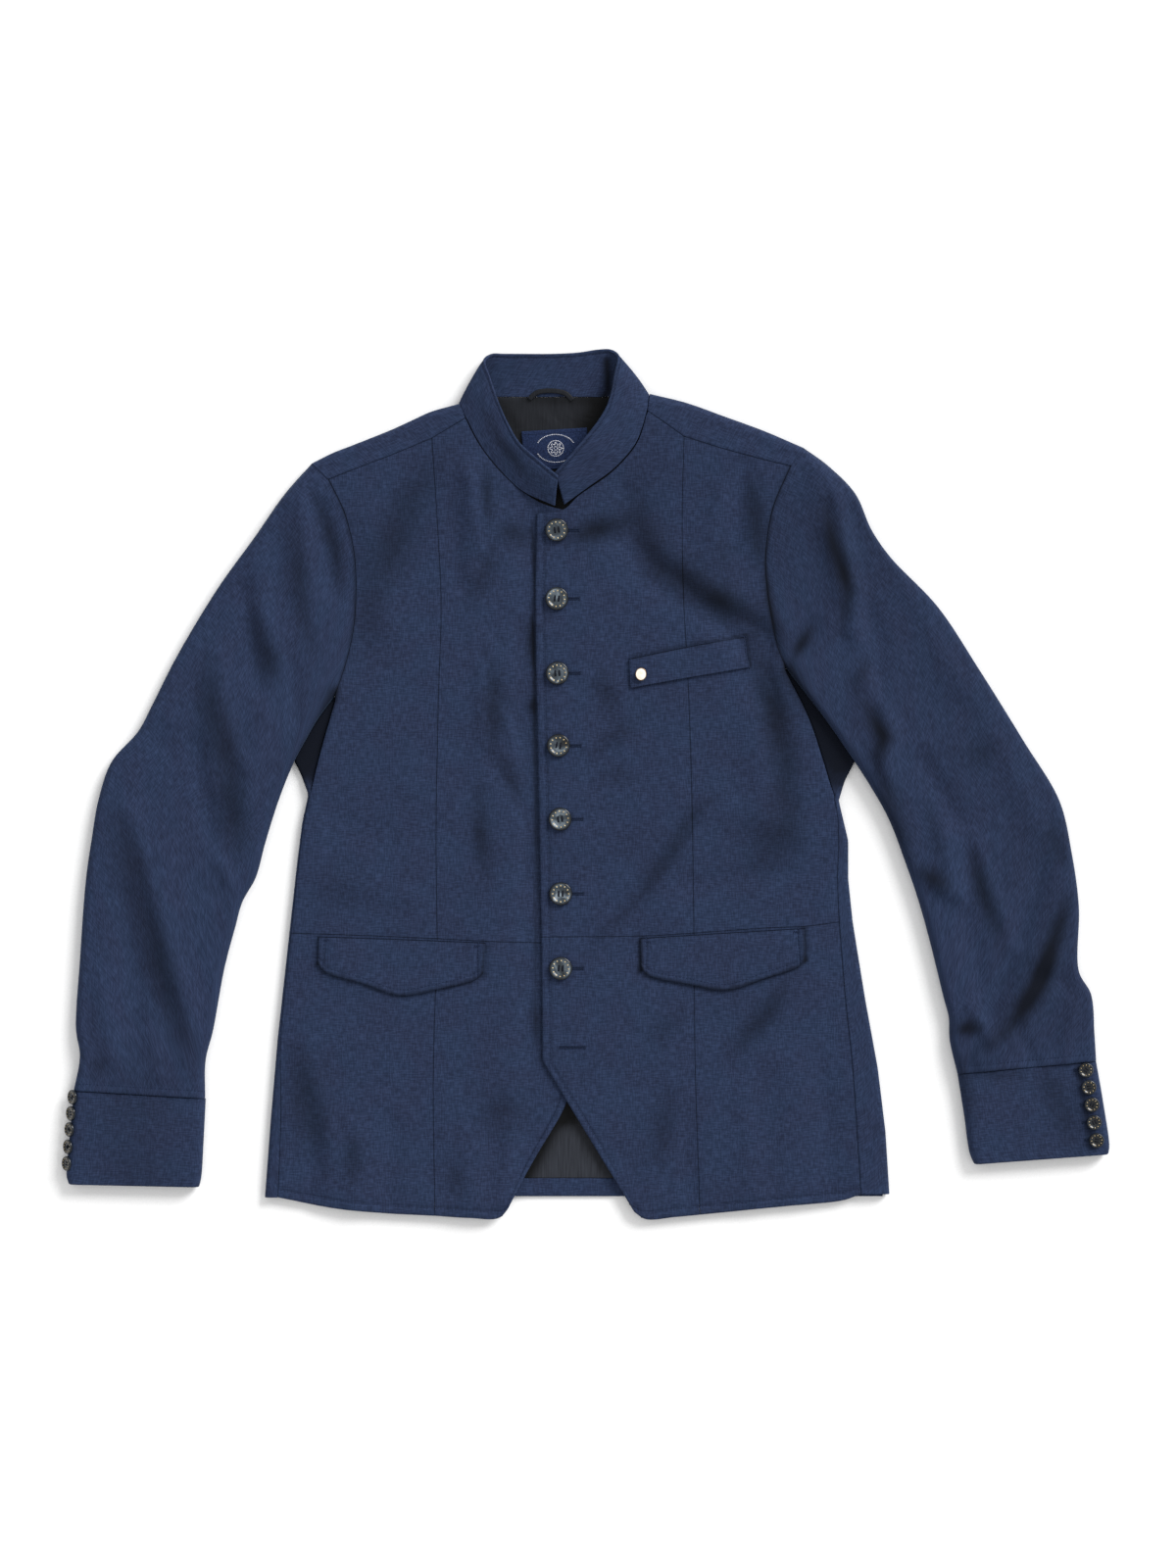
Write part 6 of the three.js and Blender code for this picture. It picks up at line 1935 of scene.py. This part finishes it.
@dataclass
class Button:
    """A four-hole horn button with a dished face and a ring of plain ticks."""

    diameter: float
    height: float
    rim: float
    dish: float
    ticks: int
    holes: float
    pale: float = 0.83
    segments: int = 48
    # Shares of the radius between which the face dips, and the share at which the ticks lie
    slope: tuple[float, float] = (0.16, 0.5)
    tick_ring: float = 0.72
    # Distance of a hole from the middle, as a share of the diameter
    hole_reach: float = 0.085

    def level(self, share: float) -> float:
        """Level of the face at a share of the radius."""
        return self.height - self.dish * float(smoothstep(np.array(1 - share), *self.slope))

    def profile(self) -> list[tuple[float, float]]:
        """Radius and level from the middle of the underside round the rim to the middle of the face."""
        radius, top = self.diameter / 2, self.height
        arc = []
        for step in range(9):
            angle = math.pi * (step / 8 - 0.5)
            arc.append((radius - self.rim + self.rim * math.cos(angle), top / 2 + top / 2 * math.sin(angle)))
        inner = [(radius * share, self.level(share)) for share in (0.84, 0.76, 0.66, 0.56, 0.46)]
        floor = top - self.dish
        return [(0.0, 0.0), *arc, *inner, (radius * 0.3, floor), (0.0, floor)]

    def body(self) -> Mesh:
        """The turned horn with its four holes."""
        drill = bmesh.new()
        reach = self.diameter * self.hole_reach
        for x, y in ((x, y) for x in (-reach, reach) for y in (-reach * 1.15, reach * 1.15)):
            place = Matrix.Translation((x * MM, y * MM, self.height * MM / 2))
            bmesh.ops.create_cone(drill, cap_ends=True, segments=12, radius1=self.holes * MM,
                                  radius2=self.holes * MM, depth=self.height * 3 * MM, matrix=place)
        horn = add_object("horn_blank", turned_mesh("turned_horn", self.profile(), self.segments))
        tool = add_object("horn_drill", as_mesh(drill, "drill"))
        cut = horn.modifiers.new("holes", "BOOLEAN")
        cut.operation, cut.object, cut.solver = "DIFFERENCE", tool, "EXACT"
        mesh = evaluated(horn)
        bpy.data.objects.remove(tool)
        mesh.shade_smooth()
        mesh.set_sharp_from_angle(angle=math.radians(50))
        return mesh

    def threads(self) -> Mesh:
        """Two bars of thread between the holes, each of two strands."""
        shape = bmesh.new()
        reach = self.diameter * self.hole_reach
        floor = self.height - self.dish
        for side, strand in ((side, strand) for side in (-1, 1) for strand in (-0.015, 0.015)):
            size = Matrix.Diagonal((self.diameter * 0.032 * MM, reach * 1.5 * MM, 0.55 * MM, 1))
            place = Matrix.Translation(((side * reach + strand * self.diameter) * MM, 0, (floor + 0.15) * MM))
            bmesh.ops.create_uvsphere(shape, u_segments=8, v_segments=8, radius=1.0, matrix=place @ size)
        mesh = as_mesh(shape, "button_thread")
        mesh.shade_smooth()
        return mesh

    def master(self, ticks: TickTree, finishes: Finishes) -> Mesh:
        """The whole button, lying at the origin: horn, ticks and thread.

        Args:
            ticks: The node tree of the ticks.
            finishes: The finishes of the blazer.

        Returns:
            One mesh with four materials.
        """
        radius = self.diameter / 2
        ring = ticks.run("ticks", bpy.data.meshes.new("ticks_empty"), {
            "Count": self.ticks, "Radius": radius * self.tick_ring * MM,
            "Size": (radius * 0.2 * MM, radius * 0.1 * MM, 0.24 * MM),
            "Level": self.level(self.tick_ring) * MM, "Paint": finishes.tick_paint,
        })
        whole = bmesh.new()
        for index, mesh in enumerate((self.body(), ring, self.threads())):
            part = bmesh.new()
            part.from_mesh(mesh)
            for face in part.faces:
                middle = face.calc_center_median()
                on_rim = math.hypot(middle.x, middle.y) > self.pale * radius * MM
                face.material_index = 3 if index == 0 and on_rim else index
            whole.from_mesh(as_mesh(part, "held"))
        mesh = as_mesh(whole, "button_master")
        for material in (finishes.horn, finishes.tick_paint, finishes.dark_thread, finishes.horn_rim):
            mesh.materials.append(material)
        return mesh


@dataclass
class Buttons:
    """The seven front buttons and the five buttons of each cuff, each set in place of its solid."""

    front: Button = field(default_factory=lambda: Button(20.8, 3.4, 1.3, 1.55, 12, 0.85))
    cuff: Button = field(default_factory=lambda: Button(13.4, 2.6, 1.0, 1.15, 10, 0.6, pale=0.0))
    front_turns: tuple = (8.0, -6.0, 4.0, -12.0, 6.0, 0.0, -4.0)
    # The first button leans back and stands a little higher
    first_lean: float = 7.0
    first_lift: float = 0.6
    cuff_leans: tuple = (("right", -50.0), ("left", 0.0))
    cuff_turn: float = 0.9

    def place(self, node: str, master: Mesh, turn: Matrix, level: Optional[float] = None) -> None:
        """Sets one button where its solid is.

        Args:
            node: The solid.
            master: The mesh of the button.
            turn: Its turn about its own middle.
            level: Height of its underside, or that of the solid.
        """
        low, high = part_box(node)
        centre = (low + high) / 2
        mesh = master.copy()
        mesh.transform(turn)
        middle = turn @ Vector((0, 0, (self.front if "front" in node else self.cuff).height * MM / 2))
        shift = centre - middle
        if level is not None:
            shift.z = level * MM
        mesh.transform(Matrix.Translation(shift))
        settle(add_object(f"{node}_horn", mesh), Slot.HORN, node)

    def seat(self, x: float, y: float) -> float:
        """Lowest level at which a front button clears the cloth."""
        angles = np.linspace(0, 2 * math.pi, 25)
        reach = self.front.diameter / 2
        around = body_height(x + reach * np.cos(angles), y + reach * np.sin(angles))
        return float(around.max()) + 0.2

    def build(self, finishes: Finishes) -> None:
        """Makes every button."""
        ticks = TickTree()
        front, cuff = self.front.master(ticks, finishes), self.cuff.master(ticks, finishes)
        for number, ((x, y), angle) in enumerate(zip(FRONT_BUTTONS, self.front_turns), start=1):
            turn = Matrix.Rotation(math.radians(angle), 4, "Z")
            level = self.seat(x, y)
            if number == 1:
                turn = Matrix.Rotation(math.radians(self.first_lean), 4, "X") @ turn
                level += self.first_lift
            self.place(f"button_front_{number}", front, turn, level)
        for side, lean in self.cuff_leans:
            lean = Matrix.Rotation(math.radians(lean), 4, "Y")
            for number in range(1, 6):
                turn = lean @ Matrix.Rotation(number * self.cuff_turn, 4, "Z")
                self.place(f"button_cuff_{side}_{number}", cuff, turn)


# Small pieces


@dataclass
class NeckLabel:
    """A woven neck label with a plain border and a small rosette."""

    thickness: float = 1.0
    columns: int = 40
    rows: int = 26

    def build(self, finishes: Finishes, tree: StitchTree) -> None:
        """Makes the label and its pale woven lines.

        Args:
            finishes: The finishes of the blazer.
            tree: The node tree of the stitches.
        """
        upper_left, upper_right, lower_right, lower_left = LABEL_CORNERS
        left, right = Edge([lower_left, upper_left]), Edge([lower_right, upper_right])
        bottom, top = Edge([lower_left, lower_right]), Edge([upper_left, upper_right])
        across = spread(bottom.length, 2.0, (0.3, 0.8), (0.3, 0.8))
        along = spread(left.length, 2.0, (0.3, 0.8), (0.3, 0.8))
        plan = coons(bottom, top, left, right, across, along)
        floor = LINING_TOP + GAP
        level = lambda x, y: floor + self.thickness + 0.25 + 0.35 * SMALL_WAVES.at(x * 0.6, y * 0.6)
        cloth = cloth_over(plan, level, self.thickness, dict.fromkeys(SEAMS, Rim.PLAIN))
        cloth.inner[..., 2] = np.maximum(cloth.inner[..., 2], floor)
        cloth.painted_shade = None
        lay_cloth("neck_label_woven", cloth, finishes.label, Slot.LABEL, "neck_label")
        border, rosette = self.lines(bottom, top, left, right, level)
        for part, lines, stitch, thread in (
                ("border", border, Stitch(1.05, 1.0, 0.45, 8), finishes.seam_thread),
                ("rosette", rosette, Stitch(1.5, 1.6, 0.75, 9, 0.5), finishes.pale_thread)):
            tree.sew(f"neck_label_{part}", lines, stitch, thread, Slot.LABEL)

    def lines(self, bottom: Edge, top: Edge, left: Edge, right: Edge,
              level: Height) -> tuple[list[SewnLine], list[SewnLine]]:
        """Lines of the border and of the rosette.

        Args:
            bottom: Lower edge of the label.
            top: Upper edge.
            left: Left edge.
            right: Right edge.
            level: Height of its face.

        Returns:
            The border's lines and the rosette's lines.
        """
        grid = coons(bottom, top, left, right, np.linspace(0.05, 0.95, 30), np.linspace(0.09, 0.91, 20))
        sides = (grid[0], grid[-1], grid[:, 0], grid[:, -1])
        border = [on_cloth(side[:, 0], side[:, 1], level) for side in sides]
        centre = coons(bottom, top, left, right, np.array([0.0, 0.5, 1.0]), np.array([0.0, 0.52, 1.0]))[1, 1]
        angles = np.linspace(0, 2 * math.pi, 57)
        rosette = []
        for radius, wave in ((7.0, 0.0), (4.4, 1.3), (1.6, 0.0)):
            reach = radius + wave * np.cos(8 * angles)
            rosette.append((reach * np.cos(angles), reach * np.sin(angles)))
        for start, end in ((25, 155), (205, 335)):
            arc = np.radians(np.linspace(start, end, 24))
            rosette.append((17.5 * np.cos(arc), 12.5 * np.sin(arc)))
        return border, [on_cloth(centre[0] + x, centre[1] + y, level) for x, y in rosette]


@dataclass
class HangerLoop:
    """The narrow folded strip at the back of the neck by which the coat is hung up."""

    width: float = 4.4
    thickness: float = 1.1
    steps: int = 60

    def build(self, finishes: Finishes) -> Object:
        """Makes the strip, with softly rounded edges."""
        line = Edge(LOOP_PATH).at(np.linspace(0, 1, self.steps))
        run = unit(np.gradient(line, axis=0))
        side = np.column_stack([-run[:, 1], run[:, 0]])
        floor = LINING_TOP + GAP
        outer, inner = [], []
        for share in np.linspace(-1, 1, 9):
            place = line + side * (share * self.width / 2)
            round_off = 0.5 * self.thickness * (1 - math.sqrt(max(1 - share**4, 0.0)))
            outer.append(np.column_stack([place, np.full(len(line), floor + self.thickness - round_off)]))
            inner.append(np.column_stack([place, np.full(len(line), floor + 0.6 * round_off)]))
        outer_grid, inner_grid = transposed(np.array(outer)), transposed(np.array(inner))
        # The loop is darkened evenly by painted shade
        cloth = Cloth(outer_grid, inner_grid, outer_grid[..., :2], painted_shade=np.full(outer_grid.shape[:2], 0.6))
        name = "hanger_loop_satin"
        return settle(add_object(name, cloth.mesh(name), finishes.lining), Slot.LINING, "hanger_loop")


@dataclass
class WeltPin:
    """A plain oval pin: a domed enamel face in a thin metal rim."""

    place: tuple[float, float] = (47.5, 98.5)
    breadth: float = 10.0
    length: float = 11.5
    depth: float = 1.6
    segments: int = 40
    metal_rings: int = 6

    def build(self, finishes: Finishes) -> None:
        """Makes the pin on the welt."""
        low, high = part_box("welt_pin")
        centre = (low + high) / 2
        x, y = self.place
        welt_top = float(body_height(np.array([x]), np.array([y]))[0]) + 2 * CLOTH + 3 * GAP
        top = max(high.z / MM, welt_top + self.depth)
        profile = [(0.0, -self.depth), (0.86, -self.depth), (1.0, -1.1), (1.0, -0.5), (0.95, -0.2),
                   (0.88, -0.25), (0.86, -0.3), (0.7, -0.12), (0.45, -0.03), (0.0, 0.0)]
        mesh = turned_mesh("welt_pin_enamel", [(share * self.breadth / 2, level) for share, level in profile],
                           self.segments, self.metal_rings, (centre.x, centre.y, top * MM),
                           self.length / self.breadth)
        mesh.shade_smooth()
        settle(add_object("welt_pin_enamel", mesh, finishes.enamel, finishes.brass), Slot.ENAMEL, "welt_pin")


# The studio


@dataclass
class Studio:
    """A pale floor, soft lamps and a camera that looks straight down, as in the photograph."""

    lens: float = 85.0
    sensor: float = 36.0
    picture_length: float = 1408.0
    focus_level: float = 9.0

    def floor(self) -> None:
        """A wide pale floor, no part of the garment."""
        mesh = bpy.data.meshes.new("floor")
        reach = 6.0
        mesh.from_pydata([(-reach, -reach, -0.0002), (reach, -reach, -0.0002), (reach, reach, -0.0002),
                          (-reach, reach, -0.0002)], [], [(0, 1, 2, 3)])
        add_object("floor", mesh, PAPER.build())

    def lamp(self, name: str, place: tuple, spread_angle: float, power: float) -> None:
        """A far, broad softbox whose light comes evenly from one side.

        Args:
            name: Name of the lamp.
            place: Where it stands, seen from the middle of the garment.
            spread_angle: Breadth of the softbox, as an angle in degrees.
            power: Its strength.
        """
        light = bpy.data.lights.new(name, "SUN")
        light.angle, light.energy = math.radians(spread_angle), power
        obj = bpy.data.objects.new(name, light)
        obj.location = place
        obj.rotation_euler = (-Vector(place)).to_track_quat("-Z", "Y").to_euler()
        bpy.context.scene.collection.objects.link(obj)

    def build(self) -> None:
        """Makes the floor, the lamps and the camera."""
        self.floor()
        self.lamp("key_lamp", (2.0, 2.1, 1.6), 30.0, 3.4)
        scene = bpy.context.scene
        world = bpy.data.worlds.new("studio_air")
        world.use_nodes = True
        air = world.node_tree.nodes["Background"]
        fill(world.node_tree, air, {"Color": linear("#ffffff"), "Strength": 0.78})
        scene.world = world
        scene.view_settings.view_transform = "Standard"
        camera = bpy.data.cameras.new("camera")
        camera.lens, camera.sensor_width = self.lens, self.sensor
        camera.dof.use_dof = False
        camera.clip_end = 20.0
        obj = bpy.data.objects.new("camera", camera)
        away = self.picture_length / 2 / (self.sensor / 2 / self.lens)
        obj.location = (0.0, 0.0, (away + self.focus_level) * MM)
        scene.collection.objects.link(obj)
        scene.camera = obj


def main() -> None:
    """Builds the blazer piece by piece, from the back up, and reports each piece."""
    Studio().build()
    finishes = Finishes()
    right = Half("right", RIGHT, RIGHT_WRAP, 1, right_front_height, collar_reach=4.0)
    left = Half("left", LEFT, LEFT_WRAP, -1, body_height)
    loop = HangerLoop().build(finishes)
    Back((right, left)).build(finishes, loop)
    for half in (right, left):
        half.build(finishes)
    sleeves = [Sleeve("right", RIGHT, RIGHT_SLEEVE), Sleeve("left", LEFT, LEFT_SLEEVE)]
    for sleeve in sleeves:
        sleeve.build(finishes)
    for side, sections in (("right", RIGHT_CUFF), ("left", LEFT_CUFF)):
        Cuff(side, sections).build(finishes)
    collar = Collar()
    collar.build(finishes)
    flap_rims = {**SEAMS, "bottom": Rim.EDGE, "left": Rim.EDGE, "right": Rim.EDGE}
    welt_rims = {**SEAMS, "left": Rim.PLAIN, "right": Rim.PLAIN}
    pockets = [Pocket("flap_right", RIGHT_FLAP, flap_rims), Pocket("flap_left", LEFT_FLAP, flap_rims),
               Pocket("welt_breast", WELT, welt_rims)]
    for pocket in pockets:
        pocket.build(finishes)
    tree = StitchTree()
    sewing = Stitching(tree, finishes)
    lines = [line for piece in (right, left, *sleeves, collar, *pockets) for line in piece.topstitching]
    tree.sew("topstitching", lines, Stitch(3.2, 2.5, 0.75, 3), finishes.seam_thread)
    sewing.pockets(pockets)
    sewing.buttonholes()
    Buttons().build(finishes)
    NeckLabel().build(finishes, tree)
    WeltPin().build(finishes)
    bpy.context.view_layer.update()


if __name__ == "__main__":
    main()
